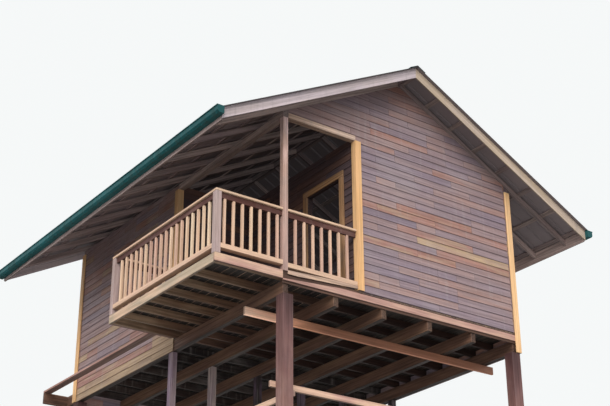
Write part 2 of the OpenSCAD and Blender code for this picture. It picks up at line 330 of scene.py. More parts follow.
class Weather(Effect):
    """Rain and dirt on the whole house: patches, runs down the faces and damp near the ground."""

    # How many cells of each noise a metre of the house holds
    PATCH_CELLS = (1.1, 1.1, 1.6)
    RUN_CELLS = (14.0, 14.0, 0.9)
    EDGE_CELLS = (6.0, 6.0, 2.0)
    SPECK_CELLS = (55.0, 55.0, 40.0)
    # The height at which the damp ends, the height at which it is full, and how uneven its edge is
    DAMP_TOP = 0.42
    DAMP_FULL = -0.2
    DAMP_EDGE = 0.5
    # How strong the specks of dirt are
    SPECKS = 0.4

    def __init__(self) -> None:
        """Builds the group."""
        super().__init__("weather", ("Patches", "Damp"), ("Greyed", "Dirt"))
        place = self.given["Place"]
        patches = self.spread(self.noise(place, self.PATCH_CELLS, detail=5.0, rough=0.62), 0.46, 0.74)
        runs = self.spread(self.noise(place, self.RUN_CELLS), 0.5, 0.78)
        worn = self.maths("MAXIMUM", patches, runs)
        uneven = self.maths("MULTIPLY", self.noise(place, self.EDGE_CELLS), -self.DAMP_EDGE)
        height = self.maths("ADD", self.part(place, "Z"), uneven)
        damp = self.spread(height, self.DAMP_TOP, self.DAMP_FULL)
        specks = self.spread(self.noise(place, self.SPECK_CELLS, detail=2.0), 0.62, 0.78)
        soiled = self.maths("MAXIMUM", damp, self.maths("MULTIPLY", specks, self.SPECKS))
        self.put({
            "Greyed": self.maths("MULTIPLY", worn, self.given["Patches"]),
            "Dirt": self.maths("MULTIPLY", soiled, self.given["Damp"], clamp=True),
        })


class Canvas(Wiring):
    """The wiring of a new material, with its shader and its coordinates at hand."""

    def __init__(self, name: str) -> None:
        """Starts a material.

        Args:
            name: its name.
        """
        self.material = bpy.data.materials.new(name)
        self.material.use_nodes = True
        super().__init__(self.material.node_tree)
        self.shader = self.tree.nodes["Principled BSDF"].inputs
        self.at = self.tree.nodes.new("ShaderNodeTexCoord").outputs


# Finishes


@dataclass(frozen=True)
class Finish:
    """A finish.

    Attributes:
        name: its material's name.
        slot: the record's slot that it is for, if it has one.
    """

    name: str
    slot: str | None

    def material(self) -> bpy.types.Material:
        """Builds the finish's material."""
        raise NotImplementedError


@dataclass(frozen=True)
class WoodFinish(Finish):
    """Bare hardwood whose timbers each have a tone between a few colours.

    Attributes:
        tones: colours from the lowest tone to the highest, each with its place from 0 to 1.
        grey: the colour of weathered patches.
        dirt: the colour of the damp foot and of the specks.
        greying: how much the patches cover.
        streak: how dark the grain's streaks are.
        damp: how much the dirt covers.
        rough: the roughness between the streaks and in them.
        relief: the height of the grain in metres.
        bump: the share of the relief that shows.
        gloss: the specular level.
        mottle: how far the tone wanders within a timber.
        under: how much painted shade darkens the faces that look down; below 0 it is painted light that
            makes them lighter.
        facing: how a face looks down that has all of that shade, and one that has none.
        end_grain: how much darker the sawn ends are.
    """

    tones: tuple[tuple[float, Colour], ...]
    grey: Colour = (0.33, 0.29, 0.27)
    dirt: Colour = (0.035, 0.03, 0.022)
    greying: float = 0.35
    streak: float = 0.42
    damp: float = 0.6
    rough: Pair = (0.52, 0.74)
    relief: float = 0.0012
    bump: float = 0.6
    gloss: float = 0.3
    mottle: float = 0.22
    under: float = 0.5
    facing: Pair = (-0.9, -0.3)
    end_grain: float = 0.45

    def material(self) -> bpy.types.Material:
        """Builds the finish's material."""
        on = Canvas(self.name)
        own = on.attribute("grain", "Vector")
        grain = on.place(Grain, {"Place": own, "Streak": self.streak, "Mottle": self.mottle})
        weather = on.place(Weather, {"Place": on.at["Object"], "Patches": self.greying, "Damp": self.damp})
        ramp = on.tree.nodes.new("ShaderNodeValToRGB")
        stops = ramp.color_ramp.elements
        stops.remove(stops[1])
        for i, (position, colour) in enumerate(self.tones):
            stop = stops.new(position) if i else stops[0]
            stop.position = position
            stop.color = rgba(colour)
        on.feed(ramp.inputs[0], on.maths("ADD", on.attribute("tone"), grain["Shift"], clamp=True))
        # Painted shade on the faces that look down, set by under; a negative under paints light on them.
        below = on.spread(on.part(on.at["Normal"], "Z"), *self.facing, (1.0 - self.under, 1.0))
        sawn = on.maths("MULTIPLY_ADD", on.attribute("end"), -self.end_grain, 1.0)
        dark = on.maths("MULTIPLY", on.maths("MULTIPLY", grain["Shade"], below), sawn)
        shade = on.tree.nodes.new("ShaderNodeCombineColor")
        for target in shade.inputs:
            on.feed(target, dark)
        colour = on.blend(weather["Greyed"], ramp.outputs[0], rgba(self.grey))
        colour = on.blend(1.0, colour, shade.outputs[0], "MULTIPLY")
        bump = on.tree.nodes.new("ShaderNodeBump")
        for name, value in (("Strength", self.bump), ("Distance", self.relief), ("Height", grain["Height"])):
            on.feed(bump.inputs[name], value)
        on.feed(on.shader["Base Color"], on.blend(weather["Dirt"], colour, rgba(self.dirt)))
        on.feed(on.shader["Roughness"], on.spread(grain["Streaks"], 0.0, 1.0, self.rough))
        on.feed(on.shader["Normal"], bump.outputs[0])
        on.feed(on.shader["Specular IOR Level"], self.gloss)
        return on.material


@dataclass(frozen=True)
class SheetFinish(Finish):
    """Factory-painted ribbed steel, a little chalked, with dirt that gathers beside the ribs.

    Attributes:
        paint: the colour of the fresh paint.
        chalked: its colour where it has weathered.
        soil: the colour of the dirt.
        back_coat_and_shade: the colour of the unpainted side, a dull back coat darkened as painted shade.
        edge_x: how far from the ridge the unpainted side ends.
        facing: how far down a face looks that is unpainted.
        worn: how much of it is chalked, and how much dirt it has.
        run_cells: how many runs of dirt a metre holds along each axis.
        run_dirt: how strong they are.
        rough: the roughness between the runs of dirt and in them.
        gloss: the specular level.
    """

    paint: Colour = (0.003, 0.068, 0.072)
    chalked: Colour = (0.015, 0.12, 0.128)
    soil: Colour = (0.05, 0.05, 0.035)
    back_coat_and_shade: Colour = (0.18, 0.148, 0.15)
    edge_x: float = 3.705
    facing: float = -0.4
    worn: Pair = (0.8, 0.5)
    run_cells: Triple = (0.7, 16.0, 0.7)
    run_dirt: float = 0.35
    rough: Pair = (0.5, 0.72)
    gloss: float = 0.2

    def material(self) -> bpy.types.Material:
        """Builds the finish's material."""
        on = Canvas(self.name)
        place = on.at["Object"]
        weather = on.place(Weather, {"Place": place, "Patches": self.worn[0], "Damp": self.worn[1]})
        runs = on.spread(on.noise(place, self.run_cells, detail=4.0), 0.42, 0.72)
        colour = on.blend(weather["Greyed"], rgba(self.paint), rgba(self.chalked))
        colour = on.blend(on.maths("MULTIPLY", runs, self.run_dirt), colour, rgba(self.soil))
        colour = on.blend(weather["Dirt"], colour, rgba(self.soil))
        # The unpainted side looking down: its back coat, darkened as painted shade.
        below = on.maths("LESS_THAN", on.part(on.at["Normal"], "Z"), self.facing)
        inner = on.maths("LESS_THAN", on.maths("ABSOLUTE", on.part(place, "X")), self.edge_x)
        colour = on.blend(on.maths("MULTIPLY", below, inner), colour, rgba(self.back_coat_and_shade))
        on.feed(on.shader["Base Color"], colour)
        on.feed(on.shader["Roughness"], on.spread(runs, 0.0, 1.0, self.rough))
        on.feed(on.shader["Specular IOR Level"], self.gloss)
        return on.material


@dataclass(frozen=True)
class PlainFinish(Finish):
    """A plain finish with a faint mottle, for fixings and the floor.

    Attributes:
        colour: the colour in the hollows of the mottle.
        other: the colour on its tops.
        rough: the roughness.
        metal: how metallic it is.
        cells: how many cells of the mottle a metre holds.
    """

    colour: Colour
    other: Colour
    rough: float
    metal: float
    cells: float

    def material(self) -> bpy.types.Material:
        """Builds the finish's material."""
        on = Canvas(self.name)
        cloud = on.spread(on.noise(on.at["Object"], (self.cells, self.cells, self.cells)), 0.35, 0.65)
        on.feed(on.shader["Base Color"], on.blend(cloud, rgba(self.colour), rgba(self.other)))
        on.feed(on.shader["Roughness"], self.rough)
        on.feed(on.shader["Metallic"], self.metal)
        return on.material


LILAC = (0.225, 0.17, 0.205)
MAUVE = (0.27, 0.195, 0.208)
ROSE = (0.325, 0.214, 0.198)
BRICK = (0.35, 0.178, 0.142)
TAN = (0.38, 0.255, 0.18)
HONEY = (0.45, 0.31, 0.195)
CREAM = (0.7, 0.47, 0.32)
BLEACHED = (0.8, 0.62, 0.44)
SALMON = (0.58, 0.36, 0.27)
PINK = (0.46, 0.265, 0.215)
STRAW = (0.46, 0.355, 0.25)
RUST = (0.085, 0.028, 0.02)
UMBER = (0.035, 0.016, 0.012)
COCOA = (0.15, 0.078, 0.052)
OCHRE = (0.22, 0.125, 0.075)
FAWN = (0.34, 0.22, 0.14)

# In each wood finish, under sets the painted shade on the faces that look down.
FINISHES: dict[str, Finish] = {
    "corner": WoodFinish(
        "corner_stilt_wood", "stilt_wood",
        ((0.0, (0.06, 0.026, 0.025)), (0.5, (0.135, 0.062, 0.058)), (1.0, (0.21, 0.107, 0.09))),
        greying=0.1, streak=0.2, mottle=0.35,
    ),
    "stilt": WoodFinish(
        "stilt_wood", "stilt_wood",
        ((0.0, (0.03, 0.02, 0.02)), (0.35, (0.2, 0.13, 0.19)), (1.0, (0.42, 0.33, 0.26))),
    ),
    # Painted light: the post's highest tones, at its top, are much lighter.
    "post": WoodFinish(
        "post_wood", "stilt_wood",
        ((0.0, (0.45, 0.285, 0.245)), (0.78, (0.52, 0.335, 0.268)), (0.93, (0.86, 0.6, 0.55))),
        streak=0.3,
    ),
    "newel": WoodFinish(
        "newel_wood", "rail_wood", ((0.0, (0.36, 0.26, 0.28)), (1.0, (0.52, 0.38, 0.31))), streak=0.3
    ),
    "beam": WoodFinish(
        "beam_wood", "beam_wood", ((0.0, UMBER), (0.5, COCOA), (0.8, OCHRE), (1.0, FAWN)),
        greying=0.0, under=0.45,
    ),
    # Painted shade: the bearers' faces that look down are darkened strongly.
    "bearer": WoodFinish(
        "bearer_wood", "beam_wood", ((0.0, UMBER), (0.5, COCOA), (0.8, OCHRE)), greying=0.0, under=0.85
    ),
    # Painted shade: near black, for the joists deep under the room floor.
    "joist": WoodFinish(
        "joist_wood", "beam_wood", ((0.0, (0.02, 0.014, 0.014)), (1.0, (0.045, 0.027, 0.022)))
    ),
    # Painted light: the header's colours, lighter towards its right end.
    "header": WoodFinish(
        "header_wood", "beam_wood", ((0.0, (0.56, 0.37, 0.265)), (1.0, (0.8, 0.58, 0.45)))
    ),
    # Painted shade: the boards' faces that look down are made nearly black.
    "deck": WoodFinish("deck_wood", "deck_wood", ((0.0, COCOA), (0.4, ROSE), (1.0, CREAM)), under=0.97),
    "rim": WoodFinish(
        "rim_wood", "rim_wood", ((0.0, COCOA), (0.25, BRICK), (0.6, PINK), (0.85, CREAM), (1.0, STRAW)),
        greying=0.15, streak=0.24, under=0.7,
    ),
    # Painted light: the girt's faces that look down are made lighter, since its under is below 0.
    "girt": WoodFinish(
        "girt_wood", "beam_wood",
        (
            (0.0, (0.3, 0.13, 0.075)),
            (0.3, (0.5, 0.23, 0.13)),
            (0.6, (0.88, 0.42, 0.26)),
            (1.0, (1.0, 0.68, 0.5)),
        ),
        greying=0.05, streak=0.2, under=-0.4,
    ),
    "wall": WoodFinish(
        "wall_boards", "wall_boards",
        ((0.0, LILAC), (0.3, MAUVE), (0.6, ROSE), (0.78, BRICK), (0.9, TAN), (1.0, HONEY)),
        grey=(0.4, 0.36, 0.36), greying=0.25, streak=0.24, mottle=0.16,
    ),
    # Painted shade: the wall boards' colours darkened for the walls inside the veranda.
    "shaded_wall": WoodFinish(
        "shade_painted_boards", "wall_boards",
        ((0.0, (0.085, 0.062, 0.072)), (0.6, (0.125, 0.07, 0.06)), (1.0, (0.19, 0.1, 0.07))),
        grey=(0.12, 0.1, 0.1), greying=0.15, streak=0.24, mottle=0.16,
    ),
    # Painted shade: the trim's colour darkened for the casing inside the veranda.
    "casing": WoodFinish(
        "casing_wood", "trim_wood", ((0.0, (0.36, 0.19, 0.09)), (1.0, (0.5, 0.29, 0.14)))
    ),
    "trim": WoodFinish(
        "trim_wood", "trim_wood", ((0.0, (0.72, 0.4, 0.17)), (1.0, (0.85, 0.54, 0.28))),
        greying=0.1, streak=0.22, damp=0.2,
    ),
    "rail": WoodFinish(
        "rail_wood", "rail_wood",
        ((0.0, RUST), (0.25, BRICK), (0.5, SALMON), (0.75, CREAM), (1.0, BLEACHED)),
        greying=0.12, streak=0.22, mottle=0.1, under=0.3,
    ),
    "roof": WoodFinish(
        "roof_timber", "roof_timber", ((0.0, (0.32, 0.23, 0.23)), (1.0, (0.6, 0.45, 0.4)))
    ),
    "fascia": WoodFinish(
        "fascia_wood", "fascia_wood", ((0.0, (0.56, 0.47, 0.49)), (1.0, (0.52, 0.4, 0.29))), streak=0.26
    ),
    "sheet": SheetFinish("teal_sheet", "roof_metal"),
    "nail": PlainFinish(
        "nail_iron", None, (0.09, 0.07, 0.06), (0.16, 0.1, 0.07), rough=0.6, metal=0.6, cells=90.0
    ),
    "floor": PlainFinish(
        "pale_floor", None, (0.74, 0.73, 0.71), (0.78, 0.77, 0.75), rough=0.9, metal=0.0, cells=0.6
    ),
}


@cache
def coat(name: str) -> tuple[bpy.types.Material, str | None]:
    """Makes a finish's material once.

    Args:
        name: the finish's name in FINISHES.

    Returns:
        The material and the record's slot, if it has one.
    """
    finish = FINISHES[name]
    return finish.material(), finish.slot


# Timber work


Box = tuple[Vector, Vector]
Verts = list[bmesh.types.BMVert]

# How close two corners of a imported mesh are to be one
WELD = 1e-5

# A length too small to matter
NOTHING = 1e-6


def solids(node: str) -> list[Box]:
    """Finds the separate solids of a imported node.

    Args:
        node: the node's name.

    Returns:
        The lowest and highest corner of each solid, in a steady order.
    """
    bm = bmesh.new()
    bm.from_mesh(bpy.data.objects[node].data)
    bmesh.ops.remove_doubles(bm, verts=bm.verts, dist=WELD)
    left = set(bm.verts)
    found: list[Box] = []
    while left:
        wave = [left.pop()]
        corners = []
        while wave:
            vert = wave.pop()
            corners.append(vert.co.copy())
            for edge in vert.link_edges:
                other = edge.other_vert(vert)
                if other in left:
                    left.remove(other)
                    wave.append(other)
        low = Vector(min(c[i] for c in corners) for i in range(3))
        high = Vector(max(c[i] for c in corners) for i in range(3))
        found.append((low, high))
    bm.free()
    return sorted(found, key=lambda box: tuple(round(c, 4) for c in (*box[0], *box[1])))


def each(items: Iterable[Element]) -> list[Element]:
    """Returns the different items in the order of their first turn."""
    return list(dict.fromkeys(items))


def show(name: str, data: bpy.types.ID) -> bpy.types.Object:
    """Adds an object to the scene.

    Args:
        name: its name.
        data: its mesh, lamp or camera.

    Returns:
        The object.
    """
    made = bpy.data.objects.new(name, data)
    bpy.context.scene.collection.objects.link(made)
    return made


@dataclass(frozen=True)
class Climb:
    """A line that climbs along X.

    Attributes:
        x: a place on it.
        z: its height there.
        slope: how much it climbs in a metre.
    """

    x: float
    z: float
    slope: float


class Work:
    """A mesh in the making that becomes one piece of the house."""

    def __init__(self) -> None:
        """Starts an empty mesh."""
        self.bm = bmesh.new()

    def piece(self, name: str, finish: str, *nodes: str) -> None:
        """Makes the mesh one object that rides on the house.

        Args:
            name: the object's name.
            finish: its finish's name.
            nodes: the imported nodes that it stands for.
        """
        material, slot = coat(finish)
        bmesh.ops.recalc_face_normals(self.bm, faces=self.bm.faces)
        mesh = bpy.data.meshes.new(name)
        self.bm.to_mesh(mesh)
        self.bm.free()
        mesh.materials.append(material)
        made = show(name, mesh)
        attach(made, BODY)
        if nodes:
            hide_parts(*nodes)
        LOG.info("%s: %d faces, for %s", name, len(mesh.polygons), ", ".join(nodes) or "no node")


class Bench(Work):
    """Cuts timbers into one mesh, each with a grain and a tone of its own."""

    # The most that a thin timber's edges are rounded off, as a share of its thickness
    MOST_ARRIS = 0.3
    # How far apart two timbers' places in the grain may be
    GRAIN_REACH = 40.0
    # How straight a face looks along the timber to be a sawn end
    END_FACING = 0.99

    def __init__(self, seed: int, arris: float = 0.003, tones: Pair = (0.0, 1.0)) -> None:
        """Starts an empty mesh.

        Args:
            seed: starts the random draws.
            arris: how far the edges are rounded off.
            tones: the lowest and highest tone of its timbers.
        """
        super().__init__()
        self.grain = self.bm.verts.layers.float_vector.new("grain")
        self.tone = self.bm.verts.layers.float.new("tone")
        self.end = self.bm.faces.layers.float.new("end")
        self.draw = random.Random(seed)
        self.arris = arris
        self.tones = tones

    def cut(self, size: Vector, place: Matrix, tone: float | None = None) -> Verts:
        """Cuts one timber, centred on its own middle, and puts it in place.

        Args:
            size: its length, width and thickness.
            place: where its middle goes, and how it is turned.
            tone: its tone, or None for a random one.

        Returns:
            The timber's vertices.
        """
        made = bmesh.ops.create_cube(self.bm, size=1.0)["verts"]
        bmesh.ops.scale(self.bm, vec=size, verts=made)
        edges = each(edge for vert in made for edge in vert.link_edges)
        offset = min(self.arris, min(size) * self.MOST_ARRIS)
        eased = bmesh.ops.bevel(
            self.bm, geom=edges, offset=offset, segments=1, profile=0.5, affect="EDGES", material=-1
        )
        verts = each(vert for face in eased["faces"] for vert in face.verts)
        shift = Vector(self.draw.uniform(0.0, self.GRAIN_REACH) for _ in range(3))
        value = self.draw.uniform(*self.tones) if tone is None else tone
        for vert in verts:
            vert[self.grain] = vert.co + shift
            vert[self.tone] = value
        for face in each(face for vert in verts for face in vert.link_faces):
            face.normal_update()
            face[self.end] = float(abs(face.normal.x) > self.END_FACING)
        bmesh.ops.transform(self.bm, matrix=place, verts=verts)
        return verts

    def beam(
        self, low: Iterable[float], high: Iterable[float], along: Along, tone: float | None = None
    ) -> Verts:
        """Cuts a timber that fills a box.

        Args:
            low: the box's lowest corner.
            high: the box's highest corner.
            along: the direction of its grain.
            tone: its tone, or None for a random one.

        Returns:
            The timber's vertices.
        """
        low, high = Vector(low), Vector(high)
        place = Matrix.Translation((low + high) / 2) @ along.turn()
        return self.cut(along.order(high - low), place, tone)

    def trim(self, verts: Verts, point: Vector, normal: Iterable[float]) -> None:
        """Saws timbers along a plane, drops what lies past it and closes the cut.

        Args:
            verts: the timbers' vertices.
            point: a point on the plane.
            normal: the direction of the part that is dropped.
        """
        live = [vert for vert in verts if vert.is_valid]
        edges = each(edge for vert in live for edge in vert.link_edges)
        faces = each(face for vert in live for face in vert.link_faces)
        cut = bmesh.ops.bisect_plane(
            self.bm, geom=live + edges + faces, dist=NOTHING, plane_co=point,
            plane_no=Vector(normal).normalized(), clear_outer=True,
        )
        rim = [edge for edge in cut["geom_cut"] if isinstance(edge, bmesh.types.BMEdge)]
        if rim:
            bmesh.ops.holes_fill(self.bm, edges=rim, sides=0)

    def wedge(
        self, low: Iterable[float], high: Iterable[float], tone: float, above: Climb | None = None,
        below: Climb | None = None,
    ) -> None:
        """Cuts a board along X whose lower or upper edge climbs.

        Args:
            low: the lowest corner before the edges are cut.
            high: the highest corner.
            tone: the board's tone.
            above: the line that the board stays above.
            below: the line that it stays below.
        """
        verts = self.beam(low, high, Along.X, tone=tone)
        for line, way in ((above, -1.0), (below, 1.0)):
            if line:
                self.trim(verts, Vector((line.x, 0.0, line.z)), (-way * line.slope, 0.0, way))

    def fade(self, verts: Verts, along: Along, tones: Pair) -> None:
        """Lets a timber's tone change from one end or side to the other.

        Args:
            verts: the timber's vertices.
            along: the direction in which it changes.
            tones: the tones at the lowest and highest places.
        """
        axis = along.value
        places = [vert.co[axis] for vert in verts]
        low, high = min(places), max(places)
        for vert in verts:
            part = (vert.co[axis] - low) / (high - low)
            vert[self.tone] = tones[0] + part * (tones[1] - tones[0])


@dataclass(frozen=True)
class Timbers:
    """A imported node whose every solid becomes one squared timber.

    Attributes:
        name: the piece's name.
        finish: its finish's name.
        along: the direction of the grain.
        node: the node.
        seed: starts the random draws.
        tones: the lowest and highest tone, or the tones at the two ends where it fades.
        fades: whether the tone changes from end to end.
        arris: how far the edges are rounded off.
    """

    name: str
    finish: str
    along: Along
    node: str
    seed: int
    tones: Pair = (0.0, 1.0)
    fades: bool = False
    arris: float = 0.004

    def build(self) -> None:
        """Builds the piece."""
        bench = Bench(self.seed, self.arris, self.tones)
        for low, high in solids(self.node):
            verts = bench.beam(low, high, self.along)
            if self.fades:
                bench.fade(verts, self.along, self.tones)
        bench.piece(self.name, self.finish, self.node)


@dataclass(frozen=True)
class Head:
    """The round head of a nail or screw, or its washer.

    Attributes:
        radius: its radius.
        height: how far it stands proud.
        sides: how many sides it has.
        crown: the radius of its top, as a share.
    """

    radius: float
    height: float
    sides: int
    crown: float = 0.8

    def drive(self, name: str, finish: str, places: Iterable[Matrix], lift: float = 0.0) -> None:
        """Sets a head at each place, looking along the place's Z, and makes them one piece.

        Args:
            name: the piece's name.
            finish: its finish's name.
            places: where the heads seat.
            lift: how far above its place a head starts.
        """
        work = Work()
        middle = Matrix.Translation((0.0, 0.0, lift + self.height / 2))
        for place in places:
            bmesh.ops.create_cone(
                work.bm, cap_ends=True, segments=self.sides, radius1=self.radius,
                radius2=self.radius * self.crown, depth=self.height, matrix=place @ middle,
            )
        work.piece(name, finish)


@dataclass(frozen=True)
class Survey:
    """The house's main lines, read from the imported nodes.

    Attributes:
        wall_x: how far the side walls' outer faces are from the ridge.
        front_y: the front wall's outer face.
        back_y: the back wall's outer face.
        room_x: the left end of the front wall.
        veranda_y: the veranda's back wall.
        deck_z: the top of the decks.
        bearer_z: the bearers' lower edge.
        plate_z: the height at which the rafters meet the walls' outer faces.
        rise: the roof's slope.
    """

    wall_x: float
    front_y: float
    back_y: float
    room_x: float
    veranda_y: float
    deck_z: float
    bearer_z: float
    plate_z: float
    rise: float

    @classmethod
    def read(cls) -> "Survey":
        """Measures the nodes and returns the lines."""
        wall_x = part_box("right_wall")[1].x
        plate_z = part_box("front_header")[1].z
        return cls(
            wall_x=wall_x,
            front_y=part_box("front_rim_left")[0].y,
            back_y=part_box("back_wall")[1].y,
            room_x=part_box("front_wall")[0].x,
            veranda_y=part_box("left_wall")[0].y,
            deck_z=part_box("veranda_deck")[1].z,
            bearer_z=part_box("left_bearer")[0].z,
            plate_z=plate_z,
            rise=(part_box("ridge_board")[0].z - plate_z) / wall_x,
        )

    def under_z(self, x: float) -> float:
        """Returns the height of the rafters' lower edge at a distance x from the ridge."""
        return self.plate_z + (self.wall_x - abs(x)) * self.rise


# The house


@dataclass
class Frame:
    """Stilts, bearers, girts, joists and rims: what carries the floor.

    Attributes:
        survey: the house's main lines.
        middle_tones: the tones of the middle stilts' rows, from the left. The last one is painted dark, as
            painted shade.
        rim_tones: the left front rim's tones at its foot and its top.
        board_tone: the right front rim board's tone.
        backing_tone: the tone of the dark board behind it, dark partly in its own colour and partly as
            painted shade in the recess.
        rim_groove: how deep the rim board lies before the backing.
        rim_gap: how far the backing shows above the rim board's top end.
        rim_drop: how far the backing reaches below the node.
        rim_top: the rim board's upper edge.
        corner_stilts: the corner stilts, darker to the top, as painted shade under the floor.
        timbers: the plain pieces that lie on the stilts.
    """

    survey: Survey
    # Painted shade: the last row of middle stilts gets a dark tone.
    middle_tones: Triple = (0.5, 0.7, 0.05)
    rim_tones: Pair = (0.55, 0.8)
    board_tone: float = 0.56
    backing_tone: float = 0.36
    rim_groove: float = 0.02
    rim_gap: float = 0.02
    rim_drop: float = 0.06
    rim_top: Climb = Climb(-1.89, 3.108, 0.073)
    # Painted shade: the corner stilts darken from their foot to their top under the floor.
    corner_stilts: Timbers = Timbers(
        "corner_stilt_timbers", "corner", Along.Z, "corner_stilts", 12, (1.6, 0.15), fades=True, arris=0.006
    )
    timbers: tuple[Timbers, ...] = (
        Timbers("left_bearer_timber", "bearer", Along.Y, "left_bearer", 13, (0.46, 0.52)),
        Timbers("bearer_timbers", "bearer", Along.Y, "bearers", 14, (0.45, 0.6)),
        # Painted light: the front girt fades from light at its left end to dark at its right.
        Timbers("front_girt_timber", "girt", Along.X, "front_girt", 29, (1.0, -2.0), fades=True,
                arris=0.003),
        Timbers("low_girt_boards", "rim", Along.X, "low_girts", 15, (0.6, 0.9)),
        Timbers("side_girt_boards", "rim", Along.Y, "side_girts", 16, (0.6, 0.8)),
        Timbers("back_beam", "beam", Along.X, "back_end_beam", 17, (0.4, 0.6)),
        # Painted shade: the veranda joists fade from light at the gallery's open end to dark further in
        # under the floor.
        Timbers("veranda_joist_timbers", "beam", Along.X, "veranda_joists", 22, (1.1, -1.3), fades=True),
        Timbers("room_joist_timbers", "joist", Along.X, "room_joists", 18),
        Timbers("gallery_end_board", "rim", Along.X, "gallery_end_rim", 19),
        Timbers("left_rim_board", "rim", Along.Y, "left_rim", 20, (0.85, 1.0)),
        Timbers("side_plank_board", "rim", Along.Y, "side_plank", 21, (0.3, 0.45)),
    )

    def middle_stilts(self) -> None:
        """Builds the middle stilts, each row in its tone."""
        bench = Bench(13, 0.005)
        found = solids("middle_stilts")
        rows = sorted({round(low.x, 2) for low, _ in found})
        for low, high in found:
            row = min(rows.index(round(low.x, 2)), len(self.middle_tones) - 1)
            bench.beam(low, high, Along.Z, tone=self.middle_tones[row])
        bench.piece("middle_stilt_timbers", "stilt", "middle_stilts")

    def front_rims(self) -> None:
        """Builds the front rims. The right one is a tapered board before a taller backing, darker partly as
        painted shade.
        """
        room_x, deck_z = self.survey.room_x, self.survey.deck_z
        bench = Bench(27, 0.004)
        bench.fade(bench.beam(*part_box("front_rim_left"), Along.X), Along.Z, self.rim_tones)
        low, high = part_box("front_rim_right")
        back = low.y + self.rim_groove
        foot = low.z - self.rim_drop / 3
        top = high.z - self.rim_gap
        bench.wedge((low.x, low.y, foot), (high.x, back, top), self.board_tone, below=self.rim_top)
        bench.piece("front_rim_boards", "rim", "front_rim_left", "front_rim_right")
        # The backing: a dark board whose tone is partly painted shade of the recess.
        bench = Bench(28, 0.003)
        foot = low.z - self.rim_drop
        bench.beam((low.x, back, foot), (room_x, high.y, deck_z), Along.X, tone=self.backing_tone)
        bench.beam((room_x, back, foot), high, Along.X, tone=self.backing_tone)
        bench.piece("front_rim_backing", "beam")

    def build(self) -> None:
        """Builds all pieces of the floor frame."""
        self.corner_stilts.build()
        self.middle_stilts()
        for timbers in self.timbers:
            timbers.build()
        self.front_rims()


@dataclass
class Decks:
    """The boards of the veranda deck and of the room floor.

    Attributes:
        survey: the house's main lines.
        board: the width of a veranda board and the gap beside it.
        room_board: the same in the room.
        tones: the lowest and highest tone of the boards.
        longest: how long a strip is laid in one board.
        least: the shortest board of a strip in two.
        room_in: how far the room's boards end behind the front.
        strip_t: the thickness of the packing strip under the right bottom rail.
        strip_z: its height before its edges are cut.
        strip_tone: its tone.
        strip_foot: its lower edge.
        strip_top: its upper edge.
    """

    survey: Survey
    board: Pair = (0.14, 0.006)
    room_board: Pair = (0.115, 0.0015)
    tones: Pair = (0.4, 0.9)
    longest: float = 3.6
    least: float = 1.6
    room_in: float = 0.02
    strip_t: float = 0.02
    strip_z: float = 3.262
    strip_tone: float = 0.85
    strip_foot: Climb = Climb(-1.9, 3.168, 0.057)
    strip_top: Climb = Climb(-1.9, 3.235, 0.05)

    def lay(self, bench: Bench, low: Sequence[float], high: Sequence[float], board: Pair) -> None:
        """Lays boards side by side on the deck's level, with their length along Y.

        Args:
            bench: cuts the boards.
            low: the lowest corner of the space that they fill.
            high: the right and back sides of that space.
            board: the width of a board and the gap beside it.
        """
        width, gap = board
        (x0, y0, foot), (x1, y1) = low, high
        count = max(1, round((x1 - x0) / (width + gap)))
        pitch = (x1 - x0) / count
        for i in range(count):
            left = x0 + i * pitch + gap / 2
            right = x0 + (i + 1) * pitch - gap / 2
            ends = [y0, y1]
            if y1 - y0 > self.longest:
                ends.insert(1, bench.draw.uniform(y0 + self.least, y1 - self.least))
            for start, end in zip(ends, ends[1:]):
                bench.beam((left, start, foot), (right, end - gap / 3, self.survey.deck_z), Along.Y)

    def build(self) -> None:
        """Builds the veranda's and the room's boards."""
        s = self.survey
        low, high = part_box("veranda_deck")
        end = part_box("gallery_end_rim")[0].y
        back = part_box("left_wall")[0].x
        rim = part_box("front_rim_left")[1].y
        bench = Bench(31, 0.003, self.tones)
        self.lay(bench, (low.x, rim, low.z), (back, end), self.board)
        self.lay(bench, (back, rim, low.z), (high.x, high.y), self.board)
        start = (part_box("front_balustrade_right")[0].x, low.y, low.z - self.strip_t)
        stop = (high.x, low.y + self.strip_t, self.strip_z)
        bench.wedge(start, stop, self.strip_tone, self.strip_foot, self.strip_top)
        bench.piece("veranda_boards", "deck", "veranda_deck")
        low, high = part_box("room_floor")
        bench = Bench(32, 0.002, self.tones)
        self.lay(bench, (s.room_x, low.y + self.room_in, low.z), (high.x, high.y), self.room_board)
        self.lay(bench, (low.x, s.veranda_y, low.z), (s.room_x, high.y), self.room_board)
        bench.piece("room_boards", "deck", "room_floor")


# The width of the casing round the doorway
CASING_W = 0.11

# How thick every wall is
WALL_T = 0.1

# Boards whose tone the photo shows on the front wall: place from the doorway wall, height, tone
SEEN_BOARDS = (
    (1.35, 1.14, 0.95),
    (1.25, 1.26, 0.8),
    (2.03, 1.62, 0.76),
    (0.60, 0.90, 0.8),
    (1.80, 0.90, 0.78),
    (1.42, 0.90, 0.68),
    (0.35, 1.38, 0.05),
    (0.65, 0.42, 0.02),
    (1.35, 1.02, 0.2),
)

# The mix of wall boards, from lilac to honey: the share of boards up to here, and the range of their tones
BOARD_MIX = (
    (0.56, (0.05, 0.4)),
    (0.9, (0.4, 0.66)),
    (0.99, (0.66, 0.8)),
    (1.0, (0.85, 0.95)),
)


@dataclass(frozen=True)
class Doorway:
    """An opening in a wall.

    Attributes:
        start: where it starts along the wall.
        end: where it ends.
        height: its height over the deck.
    """

    start: float
    end: float
    height: float


